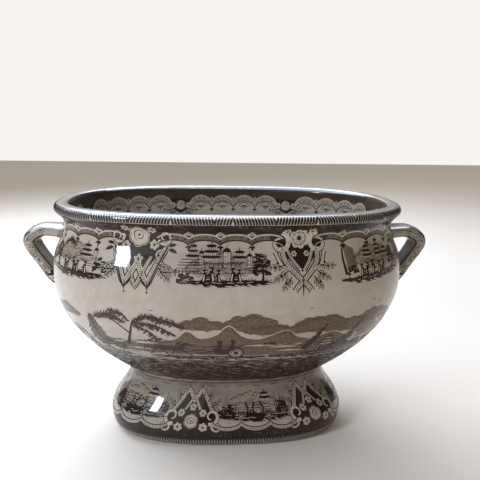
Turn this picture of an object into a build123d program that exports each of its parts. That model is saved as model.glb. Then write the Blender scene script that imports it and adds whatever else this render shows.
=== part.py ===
from build123d import *
import os
from math import cos, hypot, pi, sin, sqrt

# A footed oblong serving bowl in glazed, transfer-printed earthenware, in millimetres.
# Z is up, X runs from handle to handle, and the origin is on the table under the middle.
# Every horizontal cut through the ware is an oval with squared shoulders (a superellipse).
# The potter makes four clay pieces: the bowl, the hollow foot and two strap handles.
# They are stuck together with clay slip, which stays as a thin joint between each pair.

# Overall lengths (X) and widths (Y) of the ovals, from the top down
lip_length, lip_width = 302.0, 226.0
neck_length, neck_width = 287.0, 210.0
belly_length, belly_width = 308.0, 230.0
waist_length, waist_width = 181.0, 107.0
foot_length, foot_width = 217.0, 129.0
base_length, base_width = 196.0, 110.0

# How square each oval is: 2 is an ellipse, and more is squarer
lip_squareness = 2.6
belly_squareness = 2.5
waist_squareness = 2.3
foot_squareness = 2.6

# Heights above the table
overall_height = 213.0
lip_drop = 4.5          # from the top of the lip down to its widest line
neck_drop = 18.0        # from the top of the lip down to the neck
belly_height = 152.0
waist_height = 59.0
foot_bulge_height = 18.0

# Thicknesses
wall = 5.5              # bowl wall, square to its surface
bowl_floor = 8.0
foot_wall = 7.0
lip_round_outside = 4.5  # how far the lip's top runs in from its widest line
lip_round_inside = 3.0   # how far the mouth flares at the very top
slip_thickness = 1.0

# Strap handles
handle_reach = 30.0      # from the belly's end out to the handle's outermost face
handle_top_drop = 23.5   # from the top of the lip down to the top of the strap
handle_height = 54.0     # from the top of the strap down to the lower root
strap_thickness = 12.5
strap_width = 25.0
root_flare = 1.25        # how much wider the strap is where it meets the bowl
strap_squareness = 2.6
neck_root_depth = 3.0    # how far the strap's upper end runs into the wall, inside its face
belly_root_depth = 16.0  # how far its lower end runs in from the belly's end

ring_points = 36         # points round each oval
cut_points = 20          # points round each cut through a handle
strap_cuts = 24          # cuts along a handle

neck_height = overall_height - neck_drop
lip_height = overall_height - lip_drop
foot_top = waist_height - slip_thickness
floor_height = waist_height + bowl_floor


def mix(low, high, share):
    """The value a share of the way from low to high."""
    return low + (high - low) * share


def ease(share, lead=1.0):
    """A smooth step from 0 to 1. A lead above 1 holds the step back."""
    return (1 - cos(pi * share ** lead)) / 2


def body_share(height):
    """How far the bowl has spread from waist (0) to belly (1) at a height."""
    climb = (height - waist_height) / (belly_height - waist_height)
    return 1 - (1 - climb) ** 2


def shoulder_share(height):
    """How far the bowl has closed from belly (0) to neck (1) at a height."""
    return ease((height - belly_height) / (neck_height - belly_height), 1.4)


def lip_share(height):
    """How far the bowl has opened from neck (0) to lip (1) at a height."""
    return ease((height - neck_height) / (lip_height - neck_height), 1.3)


def bowl_outside(height):
    """Half length, half width and squareness of the bowl's outside at a height."""
    if height <= belly_height:
        share = body_share(height)
        low = (waist_length, waist_width, waist_squareness)
        high = (belly_length, belly_width, belly_squareness)
    elif height <= neck_height:
        share = shoulder_share(height)
        low = (belly_length, belly_width, belly_squareness)
        high = (neck_length, neck_width, lip_squareness)
    else:
        share = lip_share(height)
        low = (neck_length, neck_width, lip_squareness)
        high = (lip_length, lip_width, lip_squareness)
    length, width, squareness = (mix(a, b, share) for a, b in zip(low, high))
    return length / 2, width / 2, squareness


def bowl_inside(height):
    """The same for the cavity: the outside less the wall, measured square to the slope."""
    half_length, half_width, squareness = bowl_outside(min(height, neck_height))
    if height >= neck_height:
        return half_length - wall, half_width - wall, squareness
    next_length, next_width, _ = bowl_outside(height + 1)
    return (half_length - wall * hypot(1, next_length - half_length),
            half_width - wall * hypot(1, next_width - half_width),
            squareness)


def foot_outside(height):
    """Half length, half width and squareness of the foot's outside at a height."""
    bulge = (foot_length, foot_width, foot_squareness)
    if height < foot_bulge_height:
        share = sqrt(1 - (1 - height / foot_bulge_height) ** 2)
        low, high = (base_length, base_width, foot_squareness), bulge
    else:
        share = ease((waist_height - height) / (waist_height - foot_bulge_height), 1.15)
        low, high = (waist_length, waist_width, waist_squareness), bulge
    length, width, squareness = (mix(a, b, share) for a, b in zip(low, high))
    return length / 2, width / 2, squareness


def ring(half_length, half_width, squareness, height):
    """One level oval as a closed wire. Its seam is at the front, away from the handles."""
    points = []
    for step in range(ring_points):
        turn = -pi / 2 + 2 * pi * step / ring_points
        across, along = cos(turn), sin(turn)
        reach = (abs(across) ** squareness + abs(along) ** squareness) ** (-1 / squareness)
        points.append((half_length * across * reach, half_width * along * reach, height))
    return Wire([Edge.make_spline(points, periodic=True)])


def stack(shape, heights, shrink=0.0):
    """A solid through the ovals that shape gives at these heights, each smaller by shrink."""
    rings = []
    for height in heights:
        half_length, half_width, squareness = shape(height)
        rings.append(ring(half_length - shrink, half_width - shrink, squareness, height))
    return Solid.make_loft(rings)


def climb(low, high, shares):
    """Heights at these shares of the way from low to high."""
    return [mix(low, high, share) for share in shares]


def lip_cap(shrink=0.0):
    """The rounded top of the lip, above its widest line, as rings."""
    half_length, half_width, squareness = bowl_outside(lip_height)
    rings = []
    for angle in (30, 60, 90):
        rise = sin(angle * pi / 180)
        run_in = lip_round_outside * (1 - cos(angle * pi / 180)) + shrink
        height = lip_height + lip_drop * rise
        rings.append(ring(half_length - run_in, half_width - run_in, squareness, height))
    return rings


def bowl_form(grow=0.0):
    """The bowl's outside as one solid block, grown outward by grow."""
    heights = climb(waist_height, belly_height, (0, 0.12, 0.26, 0.42, 0.6, 0.8, 1))
    heights += climb(belly_height, neck_height, (0.2, 0.4, 0.6, 0.8, 1))
    heights += climb(neck_height, lip_height, (0.3, 0.55, 0.8, 1))
    rings = []
    for height in heights:
        half_length, half_width, squareness = bowl_outside(height)
        rings.append(ring(half_length + grow, half_width + grow, squareness, height))
    return Solid.make_loft(rings + lip_cap(-grow))


def cavity_form():
    """The space inside the bowl as one solid block, flared a little at the mouth."""
    heights = climb(floor_height, belly_height, (0, 0.14, 0.3, 0.48, 0.7, 1))
    heights += climb(belly_height, neck_height, (0.2, 0.4, 0.6, 0.8, 1))
    heights += climb(neck_height, lip_height, (0.5, 1))
    rings = [ring(*bowl_inside(height), height) for height in heights]
    half_length, half_width, squareness = bowl_inside(lip_height)
    rings.append(ring(half_length + lip_round_inside, half_width + lip_round_inside,
                      squareness, overall_height))
    return Solid.make_loft(rings)


def foot_form():
    """The hollow foot: a waisted ring that is open below and above."""
    heights = climb(0, foot_bulge_height, (0, 0.12, 0.4, 0.7, 1))
    heights += climb(foot_bulge_height, foot_top, (0.2, 0.4, 0.6, 0.8, 1))
    return stack(foot_outside, heights) - stack(foot_outside, heights, foot_wall)


def waist_slip():
    """The flat ring of slip between the foot and the underside of the bowl."""
    outside = Solid.extrude(Face(ring(*bowl_outside(waist_height), foot_top)),
                            Vector(0, 0, slip_thickness))
    half_length, half_width, squareness = foot_outside(foot_top)
    inside = ring(half_length - foot_wall, half_width - foot_wall, squareness, foot_top)
    return outside - Solid.extrude(Face(inside), Vector(0, 0, slip_thickness))


def handle_stations():
    """Where the strap's middle runs: out, up, thickness and width at each station.

    It leaves the neck level, turns over at the outer corner, and slants back to the belly.
    """
    neck_x = neck_length / 2
    tip_x = belly_length / 2 + handle_reach
    top_z = overall_height - handle_top_drop
    root_z = top_z - handle_height
    strap_z = top_z - strap_thickness / 2
    half = strap_thickness / 2
    belly_x = belly_length / 2
    return [
        (neck_x - wall - neck_root_depth, strap_z - 1.5,
         strap_thickness * 1.1, strap_width * root_flare),
        (mix(neck_x, tip_x, 0.18), strap_z - 0.5, strap_thickness, strap_width * 1.1),
        (mix(neck_x, tip_x, 0.5), strap_z + 0.5, strap_thickness * 0.95, strap_width),
        (tip_x - half * 2.1, strap_z - 1.5, strap_thickness, strap_width * 1.05),
        (tip_x - half * 1.05, mix(top_z, root_z, 0.27),
         strap_thickness * 1.05, strap_width * 1.1),
        (mix(belly_x, tip_x, 0.6), mix(top_z, root_z, 0.5),
         strap_thickness * 0.95, strap_width),
        (mix(belly_x, tip_x, 0.3), mix(top_z, root_z, 0.74), strap_thickness, strap_width),
        (belly_x, mix(top_z, root_z, 0.92), strap_thickness * 1.15, strap_width * 1.05),
        (belly_x - belly_root_depth, root_z - 2,
         strap_thickness * 1.2, strap_width * root_flare),
    ]


def strap_cut(place, heading, thickness, width):
    """One closed cut across the strap, square to the way it runs."""
    cut = Plane(origin=place, x_dir=(0, 1, 0), z_dir=heading)
    points = []
    for step in range(cut_points):
        turn = 2 * pi * step / cut_points
        across, through = cos(turn), sin(turn)
        reach = (abs(across) ** strap_squareness + abs(through) ** strap_squareness)
        reach **= -1 / strap_squareness
        points.append(cut.from_local_coords(
            (across * reach * width / 2, through * reach * thickness / 2)))
    return Wire([Edge.make_spline(points, periodic=True)])


def handle_strap():
    """The right-hand strap as one solid, running on into the bowl's wall at both ends."""
    stations = handle_stations()
    spans = len(stations) - 1
    middle = Edge.make_spline([(out, 0, up) for out, up, _, _ in stations],
                              parameters=[index / spans for index in range(spans + 1)])
    cuts = []
    for step in range(strap_cuts + 1):
        share = step / strap_cuts
        index = min(int(share * spans), spans - 1)
        part_way = share * spans - index
        thickness = mix(stations[index][2], stations[index + 1][2], part_way)
        width = mix(stations[index][3], stations[index + 1][3], part_way)
        cuts.append(strap_cut(middle.position_at(share, PositionMode.PARAMETER),
                              middle.tangent_at(share, PositionMode.PARAMETER),
                              thickness, width))
    return Solid.make_loft(cuts)


bowl_block = bowl_form()
bowl_body = bowl_block - cavity_form()
slip_block = bowl_form(slip_thickness)
strap = handle_strap()
right_handle = strap - slip_block
right_slip = (strap & slip_block) - bowl_block

pieces = {
    "bowl_body": bowl_body,
    "pedestal_foot": foot_form(),
    "waist_slip_joint": waist_slip(),
    "right_handle": right_handle,
    "left_handle": mirror(right_handle, about=Plane.YZ),
    "right_handle_slip_joint": right_slip,
    "left_handle_slip_joint": mirror(right_slip, about=Plane.YZ),
}

os.makedirs("parts", exist_ok=True)
for name, piece in pieces.items():
    export_step(piece, f"parts/{name}.step")
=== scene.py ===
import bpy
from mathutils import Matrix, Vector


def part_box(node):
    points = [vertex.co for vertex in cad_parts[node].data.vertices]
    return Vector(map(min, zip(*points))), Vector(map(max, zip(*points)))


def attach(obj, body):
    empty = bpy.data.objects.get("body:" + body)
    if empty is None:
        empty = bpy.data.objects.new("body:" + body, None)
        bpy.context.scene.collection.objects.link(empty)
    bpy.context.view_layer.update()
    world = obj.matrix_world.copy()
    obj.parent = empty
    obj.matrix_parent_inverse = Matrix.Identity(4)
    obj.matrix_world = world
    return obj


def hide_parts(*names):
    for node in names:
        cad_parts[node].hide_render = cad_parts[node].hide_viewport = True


bl_info = {
    "name": "Footed Printed Serving Bowl",
    "version": (1, 0, 0),
    "blender": (4, 5, 0),
    "location": "View3D > Sidebar > Serving Bowl",
    "description": "Glazes and prints a footed oblong serving bowl on its packed frame",
    "category": "Object",
}

from math import ceil, cos, pi, radians, sin

import bmesh
import bpy
import numpy as np
from mathutils import Matrix, Vector

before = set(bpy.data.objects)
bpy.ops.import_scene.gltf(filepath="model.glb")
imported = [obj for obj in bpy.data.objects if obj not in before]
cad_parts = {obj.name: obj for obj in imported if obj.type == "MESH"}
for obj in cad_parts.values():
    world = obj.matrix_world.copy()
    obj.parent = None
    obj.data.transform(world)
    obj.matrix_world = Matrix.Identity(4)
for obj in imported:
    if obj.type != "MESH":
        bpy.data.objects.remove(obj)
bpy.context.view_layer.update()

MM = 0.001

# Sizes of the ware in millimetres. The overall ones are read from the frame.
BOWL_LOW, BOWL_HIGH = (np.array(corner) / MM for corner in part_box("bowl_body"))
FOOT_HIGH = np.array(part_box("pedestal_foot")[1]) / MM

TOP_Z = BOWL_HIGH[2]
WAIST_Z = BOWL_LOW[2]
BELLY = (BOWL_HIGH[0], BOWL_HIGH[1], 2.5)          # half length, half width, squareness
LIP = (BELLY[0] - 3, BELLY[1] - 2, 2.6)
NECK = (BELLY[0] - 10.5, BELLY[1] - 10, 2.6)
WAIST = (90.5, 53.5, 2.3)
FOOT = (FOOT_HIGH[0], FOOT_HIGH[1], 2.6)
BASE = (FOOT[0] - 10.5, FOOT[1] - 9.5, 2.6)
BELLY_Z, NECK_Z, LIP_Z = TOP_Z - 61, TOP_Z - 18, TOP_Z - 4.5
FOOT_TOP_Z = FOOT_HIGH[2]
FOOT_BULGE_Z = 18
FLOOR_Z = WAIST_Z + 8
WALL = 5.5
FOOT_WALL = 7
LIP_ROUND = 4.5
MOUTH_FLARE = 3
SHOULDER_LEAD, LIP_LEAD, FOOT_LEAD = 1.4, 1.3, 1.15   # how long each curve holds back

STRAP_THICK, STRAP_WIDE, STRAP_SQUARE = 12.5, 25, 2.6
STRAP_TOP_Z = TOP_Z - 23.5
STRAP_ROOT_Z = STRAP_TOP_Z - 54
STRAP_TIP_X = BELLY[0] + 30
ROOT_FLARE = 1.25         # how much wider the strap is at its roots
NECK_ROOT_DEPTH = 3       # how far its upper end runs on inside the wall's face
BELLY_ROOT_DEPTH = 16     # how far its lower end runs in from the belly's end
ROOT_SINK = 2.6           # how much of it the visible strap keeps inside the wall

PANELS = 7        # cartouches round the bowl's border
FOOT_PANELS = 5   # cartouches round the foot


# ---------------------------------------------------------------- settings

class GlazeSettings(bpy.types.PropertyGroup):
    """Colours of the clay, glaze and ink, as sRGB."""
    cream: bpy.props.StringProperty(
        name="Glaze", description="Glaze over bare clay, as a hex colour", default="b3aa9e")
    # Darkest end of the glazes' height gradient: part stain, part painted shade, low on the bowl and
    # the straps and high on the foot under the bowl.
    stained_and_shaded: bpy.props.StringProperty(
        name="Stained and shaded glaze", description="Glaze where print and age tint it, low on the bowl",
        default="4a3119")
    ink: bpy.props.StringProperty(
        name="Ink", description="Transfer ink at full strength", default="1d1007")
    half_tone: bpy.props.StringProperty(
        name="Half tone", description="Ink stippled thin", default="5c4b39")


class PrintSettings(bpy.types.PropertyGroup):
    """Sizes of the printed pattern."""
    rope_pitch: bpy.props.FloatProperty(
        name="Rope pitch", description="Distance between strokes of the rope edge",
        default=2.3 * MM, subtype="DISTANCE", unit="LENGTH")


class StageSettings(bpy.types.PropertyGroup):
    """Light on the stage."""
    window_power: bpy.props.FloatProperty(
        name="Window", description="Power of the cool window light", default=5.0, unit="POWER")
    overhead: bpy.props.FloatProperty(
        name="Overhead", description="Strength of the broad, even light overhead", default=1.0)
    room: bpy.props.FloatProperty(
        name="Room", description="Strength of the pale room's light", default=0.12)


# ---------------------------------------------------------------- the ware's shape

def mix(low, high, share):
    """The value a share of the way from low to high."""
    return low + (high - low) * share


def ease(share, lead=1.0):
    """A smooth step from 0 to 1. A lead above 1 holds the step back."""
    return (1 - np.cos(pi * np.clip(share, 0, 1) ** lead)) / 2


def between(low, high, share):
    """An oval a share of the way from one oval to another, at each of many heights."""
    return np.stack([mix(a, b, share) for a, b in zip(low, high)], axis=-1)


def bowl_oval(height):
    """Half length, half width and squareness of the bowl's outside at these heights."""
    height = np.asarray(height, float)[..., None]
    climb = np.clip((height - WAIST_Z) / (BELLY_Z - WAIST_Z), 0, 1)[..., 0]
    body = between(WAIST, BELLY, 1 - (1 - climb) ** 2)
    closing = ((height - BELLY_Z) / (NECK_Z - BELLY_Z))[..., 0]
    shoulder = between(BELLY, NECK, ease(closing, SHOULDER_LEAD))
    opening = ((height - NECK_Z) / (LIP_Z - NECK_Z))[..., 0]
    lip = between(NECK, LIP, ease(opening, LIP_LEAD))
    over = np.clip((height[..., 0] - LIP_Z) / (TOP_Z - LIP_Z), 0, 1)
    run_in = LIP_ROUND * (1 - np.sqrt(1 - over ** 2))
    lip = lip - run_in[..., None] * np.array([1, 1, 0])
    return np.where(height <= BELLY_Z, body, np.where(height <= NECK_Z, shoulder, lip))


def inside_oval(height):
    """The same for the cavity: the outside less the wall, square to the slope."""
    height = np.asarray(height, float)
    here = bowl_oval(np.minimum(height, NECK_Z))
    slope = bowl_oval(np.minimum(height + 1, NECK_Z)) - here
    shrink = WALL * np.hypot(1, np.where(height[..., None] >= NECK_Z - 1, 0, slope))
    shrink[..., 2] = 0
    flare = MOUTH_FLARE * np.clip((height - LIP_Z) / (TOP_Z - LIP_Z), 0, 1) ** 2
    flare = flare[..., None] * np.array([1, 1, 0])
    return here - shrink + flare


def foot_oval(height):
    """Half length, half width and squareness of the foot's outside at these heights."""
    height = np.asarray(height, float)
    under = np.clip(height / FOOT_BULGE_Z, 0, 1)
    low = between(BASE, FOOT, np.sqrt(1 - (1 - under) ** 2))
    above = (WAIST_Z - height) / (WAIST_Z - FOOT_BULGE_Z)
    high = between(WAIST, FOOT, ease(above, FOOT_LEAD))
    return np.where(height[..., None] < FOOT_BULGE_Z, low, high)


def oval_point(oval, turn):
    """Where an oval's edge is at this turn, on its own level."""
    across, along = np.cos(turn), np.sin(turn)
    square = oval[..., 2]
    reach = (np.abs(across) ** square + np.abs(along) ** square) ** (-1 / square)
    return oval[..., 0] * across * reach, oval[..., 1] * along * reach


STEP = 0.4   # how far to either side of a place its slope is measured


class Ware:
    """A surface of stacked ovals, measured in millimetres around its widest line from the
    middle of the front, and up its profile from its lower edge."""

    def __init__(self, shape, low, high, widest, faces_in=False):
        self.heights = np.linspace(low, high, 600)
        self.ovals = shape(self.heights)
        steps = np.hypot(np.diff(self.ovals[:, 1]), np.diff(self.heights))
        self.rises = np.concatenate([[0], np.cumsum(steps)])
        self.turns = np.linspace(-pi / 2, 3 * pi / 2, 4001)
        x, y = oval_point(np.array(widest, float)[None], self.turns)
        steps = np.hypot(np.diff(x), np.diff(y))
        self.arounds = np.concatenate([[0], np.cumsum(steps)])
        self.girth = self.arounds[-1]
        self.side = -1 if faces_in else 1

    def rise_at(self, height):
        """How far up the profile a height is."""
        return np.interp(height, self.heights, self.rises)

    def point(self, around, up):
        """The places on the surface, as x, y and z."""
        oval = np.stack([np.interp(up, self.rises, self.ovals[:, k]) for k in range(3)], axis=-1)
        turn = np.interp(around % self.girth, self.arounds, self.turns)
        x, y = oval_point(oval, turn)
        return np.stack([x, y, np.interp(up, self.rises, self.heights)], axis=-1)

    def lifted(self, around, up, lift):
        """The same places, raised off the surface."""
        across = self.point(around + STEP, up) - self.point(around - STEP, up)
        along = self.point(around, up + STEP) - self.point(around, up - STEP)
        normal = np.cross(across, along)
        normal /= np.linalg.norm(normal, axis=-1, keepdims=True)
        return self.point(around, up) + normal * lift * self.side


def spline(values, shares):
    """A smooth curve through evenly spaced values, with free ends, read at shares 0 to 1."""
    values = np.asarray(values, float)
    count = len(values)
    system = np.eye(count)
    target = np.zeros_like(values)
    for k in range(1, count - 1):
        system[k, k - 1:k + 2] = 1, 4, 1
        target[k] = 6 * (values[k + 1] - 2 * values[k] + values[k - 1])
    bends = np.linalg.solve(system, target)
    place = np.clip(np.asarray(shares, float) * (count - 1), 0, count - 1 - 1e-9)
    k = place.astype(int)
    right = (place - k)[:, None]
    left = 1 - right
    return (left * values[k] + right * values[k + 1]
            + (left ** 3 - left) / 6 * bends[k] + (right ** 3 - right) / 6 * bends[k + 1])


def strap_stations():
    """Out, up, thickness and width at each station along the middle of the strap."""
    strap_z = STRAP_TOP_Z - STRAP_THICK / 2
    half, thick, wide = STRAP_THICK / 2, STRAP_THICK, STRAP_WIDE
    top, root, tip = STRAP_TOP_Z, STRAP_ROOT_Z, STRAP_TIP_X
    return np.array([
        (NECK[0] - WALL - NECK_ROOT_DEPTH, strap_z - 1.5, thick * 1.1, wide * ROOT_FLARE),
        (mix(NECK[0], tip, 0.18), strap_z - 0.5, thick, wide * 1.1),
        (mix(NECK[0], tip, 0.5), strap_z + 0.5, thick * 0.95, wide),
        (tip - half * 2.1, strap_z - 1.5, thick, wide * 1.05),
        (tip - half * 1.05, mix(top, root, 0.27), thick * 1.05, wide * 1.1),
        (mix(BELLY[0], tip, 0.6), mix(top, root, 0.5), thick * 0.95, wide),
        (mix(BELLY[0], tip, 0.3), mix(top, root, 0.74), thick, wide),
        (BELLY[0], mix(top, root, 0.92), thick * 1.15, wide * 1.05),
        (BELLY[0] - BELLY_ROOT_DEPTH, root - 2, thick * 1.2, wide * ROOT_FLARE),
    ])


class Strap:
    """A handle's surface, measured in millimetres around its section from the middle of its
    outer face, and along it from its upper root. The hand is 1 on the right and -1 left."""
    length = 104.0
    girth = 66.0

    def __init__(self, hand):
        self.hand = hand
        self.shares = np.linspace(0, 1, 400)
        self.table = spline(strap_stations(), self.shares)

    def read(self, share, column):
        """One column of the stations' table, at a share of the strap's length."""
        return np.interp(share, self.shares, self.table[:, column])

    def section(self, along):
        """Middle, thickness, width and outward direction of the strap there."""
        share = np.clip(along / self.length, 0, 1)
        x, z, thick, wide = (self.read(share, column) for column in range(4))
        ahead, back = np.clip(share + 0.004, 0, 1), np.clip(share - 0.004, 0, 1)
        run = np.stack([self.read(ahead, k) - self.read(back, k) for k in range(2)], -1)
        run /= np.linalg.norm(run, axis=-1, keepdims=True)
        return x, z, thick, wide, run

    def point(self, around, along):
        """The places on the surface, as x, y and z."""
        x, z, thick, wide, run = self.section(along)
        turn = around / self.girth * 2 * pi
        across, outward = np.sin(turn), np.cos(turn)
        reach = np.abs(across) ** STRAP_SQUARE + np.abs(outward) ** STRAP_SQUARE
        reach = reach ** (-1 / STRAP_SQUARE)
        # The outer face is to the left of the way the strap runs: up first, then outward.
        out = outward * reach * thick / 2
        side = across * reach * wide / 2
        place_x = x - run[..., 1] * out
        place_z = z + run[..., 0] * out
        return np.stack([self.hand * place_x, -self.hand * side * np.ones_like(x), place_z], -1)

    def lifted(self, around, along, lift):
        """The same places, raised off the surface."""
        across = self.point(around + STEP, along) - self.point(around - STEP, along)
        length = self.point(around, along + STEP) - self.point(around, along - STEP)
        normal = np.cross(length, across)
        normal /= np.linalg.norm(normal, axis=-1, keepdims=True)
        place = self.point(around, along)
        x, z = self.section(along)[:2]
        away = place - np.stack([self.hand * x, 0 * x, z], -1)
        normal *= np.sign((normal * away).sum(-1, keepdims=True))
        return place + normal * lift


OUTSIDE = Ware(bowl_oval, WAIST_Z, TOP_Z - 0.1, BELLY)
INSIDE = Ware(inside_oval, FLOOR_Z, TOP_Z, BELLY, faces_in=True)
FOOT_WARE = Ware(foot_oval, 0, FOOT_TOP_Z, FOOT)


# ---------------------------------------------------------------- meshes

def finish_piece(name, places, faces, material, slot, sharp):
    """Makes a closed mesh object from places in millimetres, and rides it on the frame."""
    mesh = bpy.data.meshes.new(name)
    mesh.from_pydata((np.asarray(places) * MM).tolist(), [], faces)
    shell = bmesh.new()
    shell.from_mesh(mesh)
    bmesh.ops.recalc_face_normals(shell, faces=shell.faces)
    shell.to_mesh(mesh)
    shell.free()
    mesh.shade_smooth()
    mesh.set_sharp_from_angle(angle=radians(sharp))
    mesh.materials.append(material)
    piece = bpy.data.objects.new(name, mesh)
    bpy.context.scene.collection.objects.link(piece)
    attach(piece, "root")
    return piece


def ring_faces(rows, columns, wrap_rows=False):
    """Quads between closed rings. Wrapped rows join the last ring to the first."""
    faces = []
    for row in range(rows if wrap_rows else rows - 1):
        low, high = row * columns, (row + 1) % rows * columns
        for column in range(columns):
            after = (column + 1) % columns
            faces.append((low + column, low + after, high + after, high + column))
    return faces


def fan(centre, ring_start, columns):
    """Triangles from a middle point to a ring."""
    return [(centre, ring_start + k, ring_start + (k + 1) % columns) for k in range(columns)]


def level_ring(oval, height, turns):
    """One closed ring of places on a level."""
    x, y = oval_point(np.array(oval, float)[None], turns)
    return np.stack([x, y, np.full_like(x, height)], -1)


def shrunk(oval, share):
    """An oval at a share of its size."""
    return (oval[0] * share, oval[1] * share, oval[2])


COLUMNS, STRAP_COLUMNS = 320, 48   # places round each ring of the ware and of the straps


def even_turns(ware):
    """Turns that cut the ware's widest line into equal lengths."""
    arounds = np.linspace(0, ware.girth, COLUMNS, endpoint=False)
    return np.interp(arounds, ware.arounds, ware.turns)


def bowl_mesh():
    """Underside, outside, rolled lip, cavity and floor of the bowl, as one closed skin."""
    turns = even_turns(OUTSIDE)
    rows = [level_ring(shrunk(bowl_oval(WAIST_Z), share), WAIST_Z, turns)
            for share in (0.05, 0.5, 0.8, 1)]
    heights = np.concatenate([np.linspace(WAIST_Z, BELLY_Z, 34)[1:],
                              np.linspace(BELLY_Z, NECK_Z, 20)[1:],
                              np.linspace(NECK_Z, LIP_Z, 10)[1:]])
    rows += [level_ring(bowl_oval(height), height, turns) for height in heights]
    for angle in (15, 30, 45, 60, 75, 90):
        run_in = LIP_ROUND * (1 - cos(radians(angle)))
        oval = np.array(LIP) - (run_in, run_in, 0)
        rows.append(level_ring(oval, LIP_Z + (TOP_Z - LIP_Z) * sin(radians(angle)), turns))
    heights = np.concatenate([np.linspace(TOP_Z, NECK_Z, 14), np.linspace(NECK_Z, FLOOR_Z, 50)[1:]])
    rows += [level_ring(inside_oval(height), height, turns) for height in heights]
    floor = inside_oval(np.array(FLOOR_Z))
    rows += [level_ring(shrunk(floor, share), FLOOR_Z, turns) for share in (0.9, 0.5, 0.05)]
    places = np.concatenate(rows + [[(0, 0, WAIST_Z)], [(0, 0, FLOOR_Z)]])
    faces = ring_faces(len(rows), COLUMNS)
    last = len(rows) * COLUMNS
    faces += fan(last, 0, COLUMNS)
    faces += fan(last + 1, last - COLUMNS, COLUMNS)
    return places, faces


def foot_mesh():
    """The hollow foot, with its rounded contact ring and open top, as one closed skin."""
    turns = even_turns(FOOT_WARE)
    heights = np.concatenate([FOOT_BULGE_Z * np.linspace(0, 1, 16) ** 2,
                              np.linspace(FOOT_BULGE_Z, FOOT_TOP_Z, 30)[1:]])
    outer = [level_ring(foot_oval(height), height, turns) for height in heights]
    inner = [level_ring(foot_oval(height) - (FOOT_WALL, FOOT_WALL, 0), height, turns)
             for height in heights[::-1]]
    rows = outer + inner
    return np.concatenate(rows), ring_faces(len(rows), COLUMNS, wrap_rows=True)


def waist_slip_mesh():
    """The line of slip squeezed out round the waist, with a rounded outer edge."""
    turns = even_turns(FOOT_WARE)
    rows = []
    bead_out, bead_up, sink = 1.1, 1.0, 0.7
    for angle in range(0, 360, 45):
        out = bead_out * cos(radians(angle)) - sink
        height = mix(FOOT_TOP_Z, WAIST_Z, 0.5) + bead_up * sin(radians(angle))
        rows.append(level_ring(np.array(WAIST) + (out, out, 0), height, turns))
    return np.concatenate(rows), ring_faces(len(rows), COLUMNS, wrap_rows=True)


def wall_depth(place):
    """How far inside the bowl's outside a place is: 1 on the skin, less inside."""
    oval = bowl_oval(np.clip(place[..., 2], WAIST_Z, LIP_Z))
    x, y = np.abs(place[..., 0]), np.abs(place[..., 1])
    return (x / oval[..., 0]) ** oval[..., 2] + (y / oval[..., 1]) ** oval[..., 2]


def strap_ends(strap):
    """Where the strap's middle line enters the bowl's skin, along it, at both roots."""
    alongs = np.linspace(0, strap.length, 800)
    x, z = strap.section(alongs)[:2]
    depth = wall_depth(np.stack([x, 0 * x, z], -1))
    outside = alongs[depth > 1]
    return outside[0], outside[-1]


def strap_mesh(strap):
    """The strap from one root to the other, both ends sunk in the bowl's wall."""
    start, end = strap_ends(strap)
    alongs = np.linspace(start - ROOT_SINK, end + ROOT_SINK, 90)
    arounds = np.linspace(0, strap.girth, STRAP_COLUMNS, endpoint=False)
    rows = [strap.point(arounds, np.full(STRAP_COLUMNS, along)) for along in alongs]
    ends = [rows[0].mean(0)[None], rows[-1].mean(0)[None]]
    faces = ring_faces(len(rows), STRAP_COLUMNS)
    last = len(rows) * STRAP_COLUMNS
    faces += fan(last, 0, STRAP_COLUMNS) + fan(last + 1, last - STRAP_COLUMNS, STRAP_COLUMNS)
    return np.concatenate(rows + ends), faces


# How far each corner of a fillet of slip is out from the bowl's skin, along the strap, and how
# far it is off the strap.
FILLET = ((-0.8, -0.5), (-0.8, 2.2), (0.2, 1.7), (1.0, 0.8), (2.0, 0.35), (3.4, 0.06), (3.4, -0.5))


def root_slip_mesh(strap):
    """Two fillets of slip, one round each root of the strap."""
    arounds = np.linspace(0, strap.girth, STRAP_COLUMNS, endpoint=False)
    start, end = strap_ends(strap)
    places, faces = [], []
    for first, way in ((start, 1), (end, -1)):
        steps = first + way * np.linspace(-7, 12, 120)
        grid = np.stack([strap.point(arounds, np.full(STRAP_COLUMNS, step)) for step in steps])
        outside = wall_depth(grid) > 1
        at_skin = steps[np.argmax(outside, axis=0)]
        offset = len(places) * STRAP_COLUMNS
        for out, lift in FILLET:
            places.append(strap.lifted(arounds, at_skin + way * out, lift))
        ring = ring_faces(len(FILLET), STRAP_COLUMNS, wrap_rows=True)
        faces += [tuple(k + offset for k in face) for face in ring]
    return np.concatenate(places), faces


# ---------------------------------------------------------------- drawing the print

SLABS = {}            # faces of each slab, by its rows and columns
UNDERSIDE = -0.12     # every slab's underside is sunk this far into the glaze
THINNEST = 0.06
LINE_CELL, PATCH_CELL, PATCH_STEP = 1.6, 1.4, 2.4   # sizes that keep slabs close to the ware


def slab_faces(rows, columns):
    """The faces of a thin slab: a grid on top, the same below, and its four edges."""
    if (rows, columns) not in SLABS:
        index = np.arange(rows * columns).reshape(rows, columns)
        a, b, c, d = index[:-1, :-1], index[1:, :-1], index[1:, 1:], index[:-1, 1:]
        quads = [np.stack([a, b, c, d], -1).reshape(-1, 4)]
        quads.append((np.stack([d, c, b, a], -1) + rows * columns).reshape(-1, 4))
        rim = np.concatenate([index[:, 0], index[-1, 1:], index[-2::-1, -1], index[0, -2:0:-1]])
        low = rim + rows * columns
        quads.append(np.stack([rim, np.roll(rim, -1), np.roll(low, -1), low], -1))
        SLABS[rows, columns] = np.concatenate(quads)
    return SLABS[rows, columns]


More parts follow.
